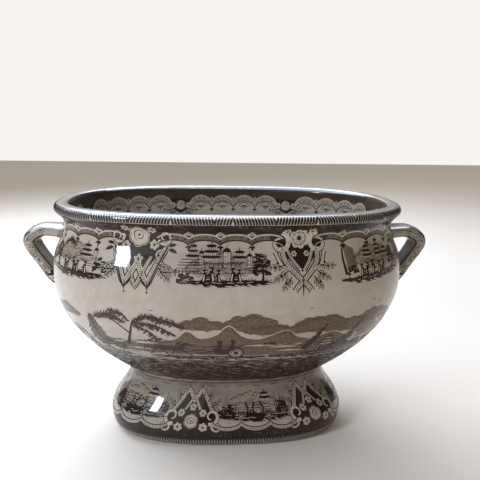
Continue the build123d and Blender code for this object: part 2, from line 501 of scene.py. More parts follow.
class Plate:
    """Flat shapes laid on one ware at one height above it, kept as one closed mesh."""

    def __init__(self, ware, lift):
        self.ware, self.lift = ware, lift
        self.spots, self.faces, self.count = [], [], 0

    def grid(self, spots):
        """Lays a grid of spots (around, up) as one slab."""
        rows, columns = spots.shape[:2]
        self.spots.append(spots.reshape(-1, 2))
        self.faces.append(slab_faces(rows, columns) + self.count)
        self.count += rows * columns * 2

    def piece(self, name, material, slot):
        """Turns everything laid so far into one piece."""
        tops, places = np.concatenate(self.spots), []
        raised = self.ware.lifted(tops[:, 0], tops[:, 1], self.lift)
        sunk = self.ware.lifted(tops[:, 0], tops[:, 1], UNDERSIDE)
        start = 0
        for spots in self.spots:
            end = start + len(spots)
            places += [raised[start:end], sunk[start:end]]
            start = end
        faces = np.concatenate(self.faces).tolist()
        return finish_piece(name, np.concatenate(places), faces, material, slot, sharp=35)


def path(xs, ys):
    """A line from its x values, and one y or a y for each."""
    return np.stack([xs, 0 * xs + ys], -1)


def flowing(points, step=PATCH_STEP):
    """A smooth line through a few points, with a point about every step."""
    points = np.asarray(points, float)
    if len(points) < 3:
        count = max(2, ceil(np.linalg.norm(points[-1] - points[0]) / step) + 1)
        return mix(points[0], points[-1], np.linspace(0, 1, count)[:, None])
    ends = [2 * points[0] - points[1]], [2 * points[-1] - points[-2]]
    p = np.concatenate([ends[0], points, ends[1]])
    out = []
    for k in range(1, len(p) - 2):
        count = max(3, ceil(np.linalg.norm(p[k + 1] - p[k]) / step))
        t = np.linspace(0, 1, count, endpoint=False)[:, None]
        out.append(0.5 * (2 * p[k] + (p[k + 1] - p[k - 1]) * t
                          + (2 * p[k - 1] - 5 * p[k] + 4 * p[k + 1] - p[k + 2]) * t ** 2
                          + (3 * p[k] - p[k - 1] - 3 * p[k + 1] + p[k + 2]) * t ** 3))
    return np.concatenate(out + [points[-1:]])


def cornered(points, step=PATCH_STEP):
    """A line of straight runs, with points about every step."""
    points = np.asarray(points, float)
    out = []
    for a, b in zip(points[:-1], points[1:]):
        count = max(1, ceil(np.linalg.norm(b - a) / step))
        out.append(mix(a, b, np.linspace(0, 1, count, endpoint=False)[:, None]))
    return np.concatenate(out + [points[-1:]])


class Pen:
    """Draws on a set of plates, in millimetres from its own spot on the ware."""

    def __init__(self, plates, around=0.0, up=0.0, flip=1, scale=1.0, tilt=0.0):
        self.plates = plates
        self.origin = np.array([around, up], float)
        c, s = cos(radians(tilt)), sin(radians(tilt))
        self.turn = np.array([[c, s], [-s, c]]) * scale @ np.diag([flip, 1])
        self.size = scale

    def at(self, x, y, flip=1, scale=1.0, tilt=0.0):
        """A pen with its spot moved, turned, sized or mirrored."""
        pen = Pen(self.plates, flip=flip, scale=scale, tilt=tilt)
        pen.turn = pen.turn @ self.turn
        pen.origin = np.array([x, y]) @ self.turn + self.origin
        pen.size = self.size * scale
        return pen

    def lay(self, plate, spots):
        """Lays a grid of spots, given from the pen's own spot, on a plate."""
        self.plates[plate].grid(spots @ self.turn + self.origin)

    def line(self, plate, points, width=0.55, corners=False):
        """A stroke. A list of widths spreads them evenly from end to end."""
        points = cornered(points) if corners else flowing(points)
        run = np.gradient(points, axis=0)
        run /= np.maximum(np.linalg.norm(run, axis=1, keepdims=True), 1e-6)
        side = np.stack([-run[:, 1], run[:, 0]], -1)
        widths = np.atleast_1d(np.asarray(width, float))
        half = np.interp(np.linspace(0, 1, len(points)), np.linspace(0, 1, len(widths)), widths)
        half = np.maximum(half, THINNEST)[:, None] / 2
        across = np.linspace(-1, 1, 2 + int(widths.max() * self.size / LINE_CELL))[None, :, None]
        self.lay(plate, points[:, None] + across * (side * half)[:, None])

    def disc(self, plate, x, y, radius, other=None, tilt=0.0):
        """A round or oval spot."""
        other = radius if other is None else other
        largest = max(radius, other) * self.size
        angle = np.linspace(0, pi, 9 if largest < 3 else 9 + int(largest))
        c, s = cos(radians(tilt)), sin(radians(tilt))
        along = -radius * np.cos(angle)
        half = other * np.maximum(np.sin(angle), 0.04)
        rows = []
        for way in np.linspace(-1, 1, 2 if largest < 1.2 else 3 + int(largest * 1.3)):
            side = way * half
            rows.append(np.stack([x + along * c - side * s, y + along * s + side * c], -1))
        self.lay(plate, np.stack(rows, 1))

    def ring(self, plate, x, y, radius, width=0.6, start=0, end=360):
        """A circle, or an arc of one, in degrees from the right."""
        angle = np.radians(np.linspace(start, end, max(5, int(abs(end - start) / 30) + 1)))
        arc = np.stack([x + radius * np.cos(angle), y + radius * np.sin(angle)], -1)
        self.line(plate, arc, width)

    def patch(self, plate, low, high):
        """A filled shape between a low and a high line with as many points each."""
        edges = []
        pieces = 1 + int(np.diff(np.asarray(low, float)[:, 0]).max() * self.size / PATCH_STEP)
        share = np.linspace(0, len(low) - 1, (len(low) - 1) * pieces + 1)
        for edge in (low, high):
            x, y = np.asarray(edge, float).T
            edges.append(np.stack([np.interp(share, np.arange(len(x)), x),
                                   np.interp(share, np.arange(len(y)), y)], -1))
        low, high = edges
        columns = 2 + int(np.abs(high - low).max() * self.size / PATCH_CELL)
        shares = np.linspace(0, 1, columns)[None, :, None]
        self.lay(plate, mix(low[:, None], high[:, None], shares))


# Heights of the layers above the ware: tints first, then dark shapes, then the places left
# bare, then the engraved lines over them.
LAYERS = {"ground": 0.05, "mist": 0.07, "wash": 0.09, "soft": 0.10, "dark": 0.12, "sand": 0.15,
          "shore": 0.16, "bare": 0.18, "ink": 0.22}


def leaf(pen, x, y, length, tilt, wide=0.38, plate="ink", vein=None):
    """One pointed leaf, growing from its spot."""
    p = pen.at(x, y, tilt=tilt)
    w = length * wide
    p.line(plate, [(0, 0), (length * 0.5, length * 0.07), (length, 0)], [0.1, w, w * 0.9, 0.1])
    if vein:
        p.line(vein, [(length * 0.12, 0.02), (length * 0.5, length * 0.06), (length * 0.82, 0.02)],
               [0.15, w * 0.42, 0.15])


def sprig(pen, x, y, tilt, length, pairs, size):
    """A curved stem with leaves in pairs and one at its tip."""
    p = pen.at(x, y, tilt=tilt)
    curl = 0.25
    p.line("ink", [(0, 0), (length * 0.5, curl * length * 0.5 ** 2), (length, curl * length)],
           [0.7, 0.35])
    for k in range(pairs):
        share = (k + 0.7) / pairs
        lean = 42 + 25 * curl * share
        for way in (-1, 1):
            leaf(p, length * share, curl * length * share ** 2, size * (1.25 - 0.4 * share),
                 way * lean + 20 * curl, 0.5, "dark", "bare")
    leaf(p, length, curl * length, size, 30 * curl, 0.5, "dark", "bare")


def blossom(pen, x, y, radius, petals=6, tilt=0):
    """An open flower: a dark bed, bare petals, lines between them and a dark eye."""
    pen.disc("dark", x, y, radius * 1.15)
    out, reach = radius * 0.6, radius * 0.85
    for k in range(petals):
        lean = tilt + 360 * k / petals
        c, s = cos(radians(lean)), sin(radians(lean))
        pen.disc("bare", x + out * c, y + out * s, radius * 0.45, radius * 0.36, lean)
        pen.line("ink", [(x + 0.3 * c, y + 0.3 * s), (x + reach * c, y + reach * s)], [0.45, 0.15])
    pen.disc("ink", x, y, radius * 0.24)


def rose(pen, x, y, radius):
    """A full rose: bare rounds with curved dark lines folding over one another."""
    pen.disc("dark", x, y, radius * 1.12)
    for k in range(6):
        angle = radians(60 * k + 20)
        px, py = x + radius * 0.55 * cos(angle), y + radius * 0.55 * sin(angle)
        pen.disc("bare", px, py, radius * 0.46)
        pen.ring("ink", px, py, radius * 0.36, [0.2, 0.7, 0.2], 60 * k - 60, 60 * k + 100)
    pen.disc("bare", x, y, radius * 0.5)
    pen.ring("ink", x, y, radius * 0.5, [0.3, 0.8, 0.3], 20, 250)
    pen.ring("ink", x + 0.3, y, radius * 0.3, [0.3, 0.7, 0.3], 200, 420)
    pen.disc("ink", x, y + radius * 0.05, radius * 0.12)


def scroll(pen, x, y, radius, flip=1, tilt=0, width=2.4, turns=1.35):
    """A C-scroll: a bare band with dark edges that curls into itself."""
    p = pen.at(x, y, flip=flip, tilt=tilt)
    angle = np.linspace(0, 2 * pi * turns, int(14 * turns))
    reach = radius * (1 - 0.72 * angle / angle[-1])
    spine = np.stack([reach * np.cos(angle), reach * np.sin(angle)], -1)
    p.line("dark", spine, [width + 1.2, width * 0.8 + 1, 1.2])
    p.line("bare", spine, [width, width * 0.7, 0.5])
    for k in range(1, len(spine) - 5, 2):
        p.disc("ink", *spine[k], 0.32)
    p.disc("ink", *spine[-1], radius * 0.2)


def strap_band(pen, points, width, corners=False):
    """A flat bare band with bold dark edges and short slanting strokes across it."""
    run = cornered(points, 1.5) if corners else flowing(points, 1.5)
    pen.line("dark", points, width + 1.6, corners)
    pen.line("bare", points, width, corners)
    way = np.gradient(run, axis=0)
    way /= np.maximum(np.linalg.norm(way, axis=1, keepdims=True), 1e-6)
    side = np.stack([-way[:, 1], way[:, 0]], -1)
    slant = 0.5
    for k in range(1, len(run) - 1):
        low = run[k] - side[k] * width * 0.36 - way[k] * slant
        high = run[k] + side[k] * width * 0.36 + way[k] * slant
        pen.line("ink", [low, high], 0.42)


def arches(count, reach):
    """Rise of a row of round arches, 0 at the points between them and 1 at the crowns."""
    share = np.linspace(0, count, int(count * reach) + 1)
    return share / count, np.abs(np.sin(pi * share)) ** 0.62


# ---------------------------------------------------------------- cartouches and little views

def rose_cartouche(pen):
    """Roses over zigzag strapwork, from 33 mm under its spot to 14 mm over it."""
    xs = np.array([-23, -19, -15, -9, -4, 0, 4, 9, 15, 19, 23.0])
    low = np.array([6, 1, -4, -14, -17, -9, -17, -14, -4, 1, 6.0])
    pen.patch("dark", path(xs, low), path(xs * 0.95, 13.4))
    strap_band(pen, [(-18, -3), (-8, -27), (0, -12), (8, -27), (18, -3)], 3.6, corners=True)
    strap_band(pen, [(-9, -8), (0, -29), (9, -8)], 2.2, corners=True)
    for way in (-1, 1):
        pen.line("ink", [(way * 19.6, -1), (way * 8.4, -29.4), (way * 3, -22)], 1.1, corners=True)
    blossom(pen, 0, -10, 3.4, 5, 18)
    rose(pen, -1, 6, 8)
    for x, y, r in ((-11, -1, 3.2), (10, 0, 3.4), (9, 11, 3.0), (-10, 12, 2.8)):
        blossom(pen, x, y, r, 6, 10 * x)
    for way in (-1, 1):
        scroll(pen, way * 17.5, 5, 5, flip=way, tilt=200 if way > 0 else -200, width=2.0)
        scroll(pen, way * 15, -7, 3.4, flip=way, tilt=60 * way, width=1.4)
        for k, lean in enumerate((-35, -62, -12)):
            sprig(pen.at(way * (13 + 2 * k), -12 - 3 * k, flip=way), 0, 0, lean, 9, 3, 3.6)
        leaf(pen.at(way * 20, -3, flip=way), 0, 0, 7, -20)
        leaf(pen.at(way * 20, -1, flip=way), 0, 0, 6, 12)
    for x in (-8, 8):
        pen.line("ink", [(x, -27), (x, -31)], [1.2, 0.2])
        pen.disc("ink", x, -32.2, 0.7)


def flower_cartouche(pen):
    """A round flower between two broad scrolls, over straps that cross below."""
    xs = np.array([-21, -16, -10, -4, 0, 4, 10, 16, 21.0])
    low = np.array([5, -1, -8, -15, -18, -15, -8, -1, 5.0])
    pen.patch("dark", path(xs, low), path(xs * 0.95, 13.4))
    for way in (-1, 1):
        p = pen.at(0, 0, flip=way)
        strap_band(p, [(13, -1), (11, -11), (4, -20), (-3, -27), (-6, -31)], 2.8)
        scroll(p, 14, 2, 7.2, tilt=100, width=3.6, turns=1.1)
        p.line("dark", [(18, -4), (14, -13), (6, -18)], [3.4, 3.0, 0.6])
        p.line("bare", [(18, -4), (14, -13), (6, -18)], [2.0, 1.6, 0.2])
        for k, lean in enumerate((-22, -48, -70)):
            sprig(p, 12 - 2 * k, -13 - 4 * k, lean, 10 - k, 3, 3.4)
        for x, y in ((17, -12), (19, -15), (15, -20), (12, -25)):
            p.disc("ink", x, y, 0.8)
        strap_band(p, [(9, -3), (6, -10), (1, -17)], 1.8)
        blossom(p, 4.6, -5.5, 2.0, 6)
        leaf(p, 8.5, 1, 4.6, -70, 0.4, "wash")
    blossom(pen, 0, 5, 7, 8, 12)
    pen.ring("ink", 0, 5, 4.6, 0.5)
    blossom(pen, 9, 10, 3.2, 5)
    blossom(pen, -9, 10, 2.8, 5)
    pen.line("ink", [(0, -22), (0, -34)], [0.4, 1.2, 0.3])


def figure(pen, x, y, tall, flip=1, seated=True):
    """A tiny draped figure, with a broad hat and no face."""
    p = pen.at(x, y, flip=flip, scale=tall / 8)
    low = 3.0 if seated else 2.0
    p.line("dark", [(0, 0), (-0.1, 1.6), (0.1, 3.4), (0.3, 5.2), (0.2, 6.2)],
           [low, low * 1.05, 2.3, 2.1, 0.9])
    p.line("bare", [(-0.6, 0.7), (-0.5, 2.4), (0.0, 4.6)], [0.7, 0.9, 0.5])
    p.line("dark", [(0.5, 4.9), (1.9, 3.6), (3.0, 4.0)], [1.2, 0.9, 0.5])
    if seated:
        p.line("dark", [(0.3, 1.1), (2.6, 1.9), (3.4, 0.1)], [2.0, 1.5, 0.7])
        p.line("bare", [(1.0, 1.7), (2.7, 1.8)], [0.3, 0.7, 0.2])
    p.disc("dark", 0.25, 6.7, 0.95)
    p.line("ink", [(-1.4, 7.1), (0.2, 7.5), (1.8, 7.2)], [0.2, 0.9, 0.2])
    p.disc("bare", 0.7, 6.5, 0.4)


def pagoda(pen, x, y, wide, tiers, tall=3.4):
    """Stacked roofs with turned-up eaves over rows of posts."""
    for k in range(tiers):
        span = wide * (1 - 0.72 * k / tiers)
        base = y + k * tall
        pen.patch("bare", [(x - span * 0.4, base), (x + span * 0.4, base)],
                  [(x - span * 0.4, base + tall * 0.55), (x + span * 0.4, base + tall * 0.55)])
        for post in np.linspace(-0.36, 0.36, 3 + int(span / 3)):
            pen.line("ink", [(x + post * span, base), (x + post * span, base + tall * 0.5)], 0.35)
        eave = [(x - span * 0.62, base + tall * 0.75), (x - span * 0.4, base + tall * 0.5),
                (x, base + tall * 0.42), (x + span * 0.4, base + tall * 0.5),
                (x + span * 0.62, base + tall * 0.75)]
        ridge = [(px * 0.55 + x * 0.45, base + tall * 0.98) for px, _ in eave]
        pen.patch("ink", eave, ridge)
    top = y + tiers * tall
    pen.line("ink", [(x, top - 0.6), (x, top + 2.4)], [1.0, 0.2])


def tower(pen, x, y, wide, tall):
    """A domed tower with a lit and a shaded side."""
    half = wide / 2
    pen.patch("bare", [(x - half, y), (x + half, y)], [(x - half, y + tall), (x + half, y + tall)])
    pen.patch("wash", [(x, y), (x + half, y)], [(x, y + tall), (x + half, y + tall)])
    for offset in (-half, half * 0.3, half):
        pen.line("ink", [(x + offset, y), (x + offset, y + tall)], 0.4)
    pen.disc("dark", x, y + tall, half * 1.15, half * 1.2)
    pen.line("ink", [(x, y + tall + half), (x, y + tall + half + 3)], [0.7, 0.15])
    left = x - half * 0.5
    for k in range(int(tall / 2.6)):
        pen.line("ink", [(left, y + 1.2 + 2.4 * k), (left, y + 2.4 + 2.4 * k)], 0.6)


def bush(pen, x, y, wide, tall, seed):
    """A rounded mass of leaves: overlapping dabs, darker low, with lit dabs on top."""
    draw = np.random.default_rng(seed)
    count = int(8 + wide * tall * 0.22)
    for _ in range(count):
        angle, reach = draw.uniform(0, pi), draw.uniform(0.15, 1) ** 0.5
        px = x + wide / 2 * reach * cos(angle)
        py = y + tall * reach * sin(angle)
        size = draw.uniform(0.9, 1.9)
        pen.disc("dark", px, py, size, size * 0.6, draw.uniform(-40, 40))
        if draw.random() < 0.4:
            pen.line("bare", [(px - 0.6, py + 0.5), (px + 0.7, py + 0.75)], [0.2, 0.45, 0.2])
        else:
            pen.line("ink", [(px - 0.8, py - 0.2), (px + 0.9, py + 0.1)], [0.2, 0.7, 0.2])


def rough_ground(pen, x0, x1, y, deep, seed, slope=0.0):
    """A strip of broken ground: ragged under its lower edge, with grass and hatching."""
    draw = np.random.default_rng(seed)
    xs = np.linspace(x0, x1, int((x1 - x0) / 2.2) + 2)
    taper = np.sin(pi * np.linspace(0.04, 0.96, len(xs))) ** 0.5
    tilt = slope * (xs - x0)
    low = y + tilt - deep * taper * draw.uniform(0.55, 1.15, len(xs))
    high = y + tilt + deep * 0.35 * taper * draw.uniform(0.2, 1.0, len(xs))
    pen.patch("dark", path(xs, low), path(xs, high))
    for px, py, lo in zip(xs, high, low):
        if draw.random() < 0.6:
            tip = px + draw.uniform(-1, 1), py + draw.uniform(0.8, 2.2)
            pen.line("ink", [(px, py - 0.3), tip], [0.5, 0.1])
        pen.line("ink", [(px, lo), (px + 3.2, lo - 0.1)], [0.1, 0.6, 0.1])
        if draw.random() < 0.45:
            pen.line("bare", [(px, mix(lo, py, 0.5)), (px + 3, mix(lo, py, 0.55))], [0.1, 0.4, 0.1])


def water(pen, x0, x1, y0, y1, lines, seed, plate="ink", width=0.35):
    """Long level ripple lines, broken at random."""
    draw = np.random.default_rng(seed)
    for k in range(lines):
        y = mix(y0, y1, k / max(1, lines - 1)) + draw.uniform(-0.3, 0.3)
        x = x0 + draw.uniform(0, 8)
        while x < x1 - 3:
            long = draw.uniform(5, 24)
            end = min(x + long, x1)
            pen.line(plate, [(x, y), (mix(x, end, 0.5), y + draw.uniform(-0.25, 0.25)), (end, y)],
                     [0.1, width * draw.uniform(0.8, 1.5), 0.1])
            x = end + draw.uniform(1.5, 9)


def cloud(pen, x, y, wide, tall, seed, plate="wash"):
    """A soft bank of half tone: rounds heaped on a flat base, with curls and streaks."""
    draw = np.random.default_rng(seed)
    count = int(wide / 2.2) + 4
    for k in range(count):
        share = (k + draw.uniform(0.2, 0.8)) / count
        lift = tall * sin(pi * share) ** 0.6
        px = x + (share - 0.5) * wide * 0.92
        size = draw.uniform(0.24, 0.4) * lift + 1.0
        py = y + draw.uniform(0.25, 1.0) * max(lift - size, 0.2)
        pen.disc(plate, px, py, size * draw.uniform(1.1, 1.7), size)
        pen.disc(plate, px, y + lift * 0.22, size * 1.7, lift * 0.26 + 0.8)
        if size > 2:
            pen.ring("soft", px, py, size * 0.78, [0.1, 0.6, 0.1], 30, 165)
            pen.ring("soft", px + 1, py - size * 0.6, size * 0.6, [0.1, 0.5, 0.1], 200, 330)
    for k in range(3):
        low = y - 0.5 - k * 0.9
        pen.line(plate, [(x - wide * (0.4 - 0.1 * k), low), (x + wide * (0.34 - 0.07 * k), low)],
                 [0.2, 1.2, 0.2])


def ridge(pen, points, base, seed):
    """A far range of hills in flat half tone, with a bare rim of light above it."""
    line = flowing(points, 3)
    pen.line("bare", line + (0, 0.8), [0.1, 0.8, 0.8, 0.1])
    pen.patch("wash", path(line[:, 0], base), line)
    draw = np.random.default_rng(seed)
    for px, py in line[1:-1:2]:
        drop = (py - base) * draw.uniform(0.4, 0.9)
        pen.line("soft", [(px, py - 0.5), (px + drop * 0.5, py - drop)], [0.7, 0.1])


def plume(pen, points, size, seed):
    """A feathery bough: a stem over many thin drooping leaves."""
    line = flowing(points, 1.1)
    pen.line("dark", points, [1.3, 0.5])
    draw = np.random.default_rng(seed)
    for k, (px, py) in enumerate(line[2:]):
        fade = 0.6 + 0.4 * sin(pi * k / len(line))
        for plate in ("dark", "soft", "dark"):
            tilt = draw.choice((-1, 1)) * draw.uniform(20, 62) - 90
            leaf(pen, px, py, size * fade * draw.uniform(0.6, 1.25), tilt, 0.17, plate)
        leaf(pen, px, py, size * 0.5 * fade, draw.uniform(30, 150), 0.25, "soft")


def conifer(pen, x, y, tall, wide, seed):
    """A tall tiered tree with level, drooping boughs."""
    draw = np.random.default_rng(seed)
    pen.line("dark", [(x, y), (x + 0.4, y + tall)], [1.8, 0.4])
    tiers = int(tall / 2.2)
    for k in range(tiers):
        share = (k + 1.2) / (tiers + 1)
        reach = wide / 2 * (1 - share) ** 0.7 + 0.8
        for way in (-1, 1):
            r = reach * draw.uniform(0.75, 1.15)
            base = y + tall * share
            pen.line("dark", [(x, base), (x + way * r * 0.6, base + 0.3), (x + way * r, base - 1.2)],
                     [1.8, 2.0, 0.3])
            pen.line("bare", [(x + way * 0.8, base + 0.7), (x + way * r * 0.7, base + 0.5)],
                     [0.1, 0.35, 0.1])


def palace_view(pen):
    """Domed towers, stepped roofs, seated figures and a layered tree over broken ground."""
    cloud(pen, 2, 9, 60, 15, 4, "mist")
    for k in range(5):
        pen.line("ink", [(-33 + k, 9 + 2.0 * k), (-15, 9 + 2.0 * k)], 0.5)
    for x in np.linspace(-32, -17, 7):
        pen.line("ink", [(x, 7), (x, 10)], 0.5)
    pagoda(pen, -21, 17, 9, 3)
    pagoda(pen, -8, 16, 13, 3, 3.8)
    tower(pen, 3, 12, 5, 10)
    pagoda(pen, 12, 16, 10, 2, 3.6)
    tower(pen, -15, 13, 3.4, 8)
    tower(pen, 19, 12, 3.6, 7)
    water(pen, -30, 26, 8, 15, 5, 3)
    for k in range(9):
        pen.line("ink", [(-12 + 3 * k, 11), (-12 + 3 * k, 14)], 0.45)
    pen.line("ink", [(-13, 14.2), (14, 14.2)], 0.6)
    bush(pen, 27, 7, 13, 15, 21)
    pen.line("dark", [(27, 0), (28, 9), (26, 18)], [1.8, 0.6])
    for k in range(4):
        pen.line("dark", [(20, 8 + 3.4 * k), (27, 9.4 + 3.4 * k), (34 - 2 * k, 7.6 + 3.4 * k)],
                 [0.4, 2.6, 0.3])
    rough_ground(pen, -31, 33, 2.4, 3.6, 5)
    for x, flip, tall in ((-12, 1, 9), (-7, -1, 10.5), (-2.5, -1, 8.5), (7, 1, 10), (11.5, -1, 9)):
        figure(pen, x, 1.6, tall, flip)
    bush(pen, -25, 2.5, 10, 5, 22)


def grove_view(pen):
    """A grove with figures under hanging boughs, and far water."""
    cloud(pen, -4, 12, 44, 13, 14, "mist")
    water(pen, -24, 28, 8, 14, 5, 13)
    pagoda(pen, 12, 13, 12, 3)
    tower(pen, 21, 11, 3.6, 8)
    pen.line("dark", [(-19, 1), (-21, 12), (-16, 24)], [2.4, 1.2, 0.6])
    plume(pen, [(-17, 20), (-10, 25), (-2, 21)], 4.2, 31)
    plume(pen, [(-20, 17), (-27, 20), (-32, 14)], 4.0, 32)
    bush(pen, -24, 6, 15, 10, 33)
    bush(pen, 27, 5, 11, 9, 34)
    rough_ground(pen, -32, 31, 2.6, 4.2, 15)
    for x, flip, tall in ((-10, 1, 10), (-5, -1, 9), (1, 1, 11), (6, -1, 9), (14, -1, 9)):
        figure(pen, x, 1.8, tall, flip, seated=tall < 11)


def temple_view(pen):
    """A waterfall between columns, temples on an islet, figures and a slanting bank."""
    cloud(pen, 4, 12, 50, 13, 24, "mist")
    for k in range(8):
        pen.line("ink", [(-24 + 1.1 * k, 6), (-24.6 + 1.1 * k, 26 - 0.5 * k)], 0.45)
    pen.line("dark", [(-26, 4), (-27, 16), (-25, 28)], [2.2, 1.6, 0.8])
    for x, tall in ((-4, 3), (8, 4), (17, 2)):
        pagoda(pen, x, 14, 10 - tall * 0.4, tall, 3.2)
    water(pen, -14, 30, 7, 14, 5, 23)
    bush(pen, 25, 7, 12, 13, 41)
    bush(pen, -20, 4, 9, 6, 42)
    pen.line("dark", [(25, 1), (26, 12)], [1.8, 0.6])
    rough_ground(pen, -30, 32, 0.6, 4.2, 25, slope=0.05)
    for x, flip, tall in ((-12, 1, 9), (-6, -1, 10), (-1, 1, 11), (6, 1, 9.5), (12, -1, 10)):
        figure(pen, x, 1.4, tall, flip, seated=tall < 11)


def frame_band(pen, width_mm, count, low, rise, deep, fill="wash"):
    """A row of arched frames: a stippled band between a bare line and a dark one."""
    share, crown = arches(count, 9)
    xs = share * width_mm
    inner = low + rise * crown
    outer = inner + deep
    pen.patch(fill, path(xs, inner), path(xs, outer))
    pen.line("bare", path(xs, outer), 1.0, corners=True)
    pen.line("ink", path(xs, inner), 0.9, corners=True)
    pen.line("bare", path(xs, inner - 0.9), 0.5, corners=True)
    for x, y in zip(xs[::2], (inner + outer)[::2] / 2):
        pen.disc("ink", x, y, 0.75, 0.55, 40)
    for k in range(1, count):
        tip = k * width_mm / count
        leaf(pen, tip, low - 0.5, 4.0, -90, 0.5)
        for way in (-1, 1):
            leaf(pen.at(tip, low - 0.8, flip=way), 0, 0, 3.2, -35, 0.4)
            pen.disc("bare", tip + way * 2.6, low + (deep + 3.2), 0.8)
        blossom(pen, tip, low + (deep + 4.0), 1.9, 5, 90)


# ---------------------------------------------------------------- the print, region by region

def border_print(plates):
    """The rope edge, dark stippled ground, frames, cartouches and little views of the bowl."""
    rope_low, rope_high = OUTSIDE.rise_at(206.8), OUTSIDE.rise_at(212.3)
    ground_high = OUTSIDE.rise_at(206.2)
    frame_low, frame_rise, frame_deep = 155.5, 3.5, 4.6
    cartouche_up, view_up = 155, 126
    first, gap = 52.6, 13
    count = int(OUTSIDE.girth / (bpy.context.scene.bowl_print.rope_pitch / MM))
    whole = Pen(plates)
    for k in range(count):
        x = OUTSIDE.girth * k / count
        lean = 0.9 if k // 14 % 2 else -0.9
        whole.line("ink", [(x - lean, rope_low), (x + lean, rope_high)], [1.7, 1.6, 1.1])
    pitch = OUTSIDE.girth / PANELS
    share, crown = arches(4, 9)
    xs = np.concatenate([[-gap, 0], gap + share * (pitch - 2 * gap)])
    low = np.concatenate([[frame_low + 5] * 2, frame_low + frame_rise * crown + frame_deep])
    cartouches = (flower_cartouche, rose_cartouche) * 3 + (rose_cartouche,)
    views = (temple_view, palace_view, grove_view) * 2 + (palace_view,)
    for k, (cartouche, view) in enumerate(zip(cartouches, views)):
        start = Pen(plates, first + pitch * k, 0)
        start.patch("ground", path(xs, low), path(xs, ground_high))
        for x in np.arange(gap + 2, pitch - gap, 4.1):
            up = ground_high - 2.4 - 1.6 * sin(3 * x)
            leaf(start, x, up, 3.4, 90 + 80 * sin(5 * x), 0.34, "wash")
        frame_band(start.at(gap, 0), pitch - 2 * gap, 4, frame_low, frame_rise, frame_deep)
        cartouche(start.at(0, cartouche_up, scale=1.12))
        view(start.at(pitch / 2 + 2, view_up, scale=1.1))


def carriage(pen):
    """A galloping horse and a light carriage with two figures, as plain shapes on a shore."""
    pen.patch("shore", [(-84, 62), (-40, 60), (20, 58), (74, 60)],
              [(-84, 67), (-40, 74), (20, 72.5), (74, 67)])
    for x, y in ((-66, 71), (24, 70), (44, 68), (-72, 64), (52, 63)):
        pen.line("bare", [(x - 12, y), (x, y + 0.3), (x + 14, y - 0.4)], [0.1, 1.8, 0.1])
    pen.line("ink", [(-61, 64), (-55, 67.5), (-46, 66.5), (-38, 67), (-33, 72), (-27, 70.5)],
             [2.0, 6.4, 4.8, 5.4, 3.6, 1.2])
    pen.line("ink", [(-35, 74.5), (-39, 72), (-41, 69)], [0.6, 2.0, 0.5])
    for x, lean in ((-58, -7), (-54, 5), (-42, -5), (-37, 8)):
        pen.line("ink", [(x, 66), (x + lean * 0.5, 61.5), (x + lean, 58)], [2.6, 1.3, 0.9])
    pen.line("ink", [(-60, 65), (-66, 68), (-69, 62)], [2.0, 1.2, 0.3])
    pen.line("ink", [(-33, 71), (-18, 69), (-4, 71)], 0.8)
    pen.line("ink", [(-36, 67), (-16, 64), (-2, 63)], 0.9)
    pen.line("ink", [(-46, 65), (-20, 62), (-2, 61)], 0.7)
    for x, tall in ((-6, 7.5), (4, 8.5)):
        pen.line("ink", [(x, 65), (x - 0.4, 68), (x + 0.3, 65 + tall)], [5.2, 4.4, 2.2])
        pen.disc("ink", x + 0.2, 66.2 + tall, 1.7)
        pen.line("ink", [(x - 2.6, 66.8 + tall), (x + 0.2, 67.6 + tall), (x + 2.8, 66.9 + tall)],
                 [0.3, 1.2, 0.3])
        pen.line("ink", [(x - 0.5, 70), (x - 5, 69), (x - 8, 70)], [1.5, 0.9, 0.5])
    pen.patch("ink", [(-10, 61), (-4, 59.6), (1, 60)], [(-12, 67.5), (-4, 66), (2, 67.4)])
    pen.line("ink", [(1, 67), (9, 69), (14, 72)], [1.6, 1.2, 0.5])
    x, y = 7, 61.5
    pen.disc("bare", x, y, 6.2)
    for radius, width in ((6.0, 1.6), (4.0, 0.5), (1.5, 1.0)):
        pen.ring("ink", x, y, radius, width)
    for angle in range(0, 180, 36):
        c, s = 5.8 * cos(radians(angle)), 5.8 * sin(radians(angle))
        pen.line("ink", [(x - c, y - s), (x + c, y + s)], 0.6)


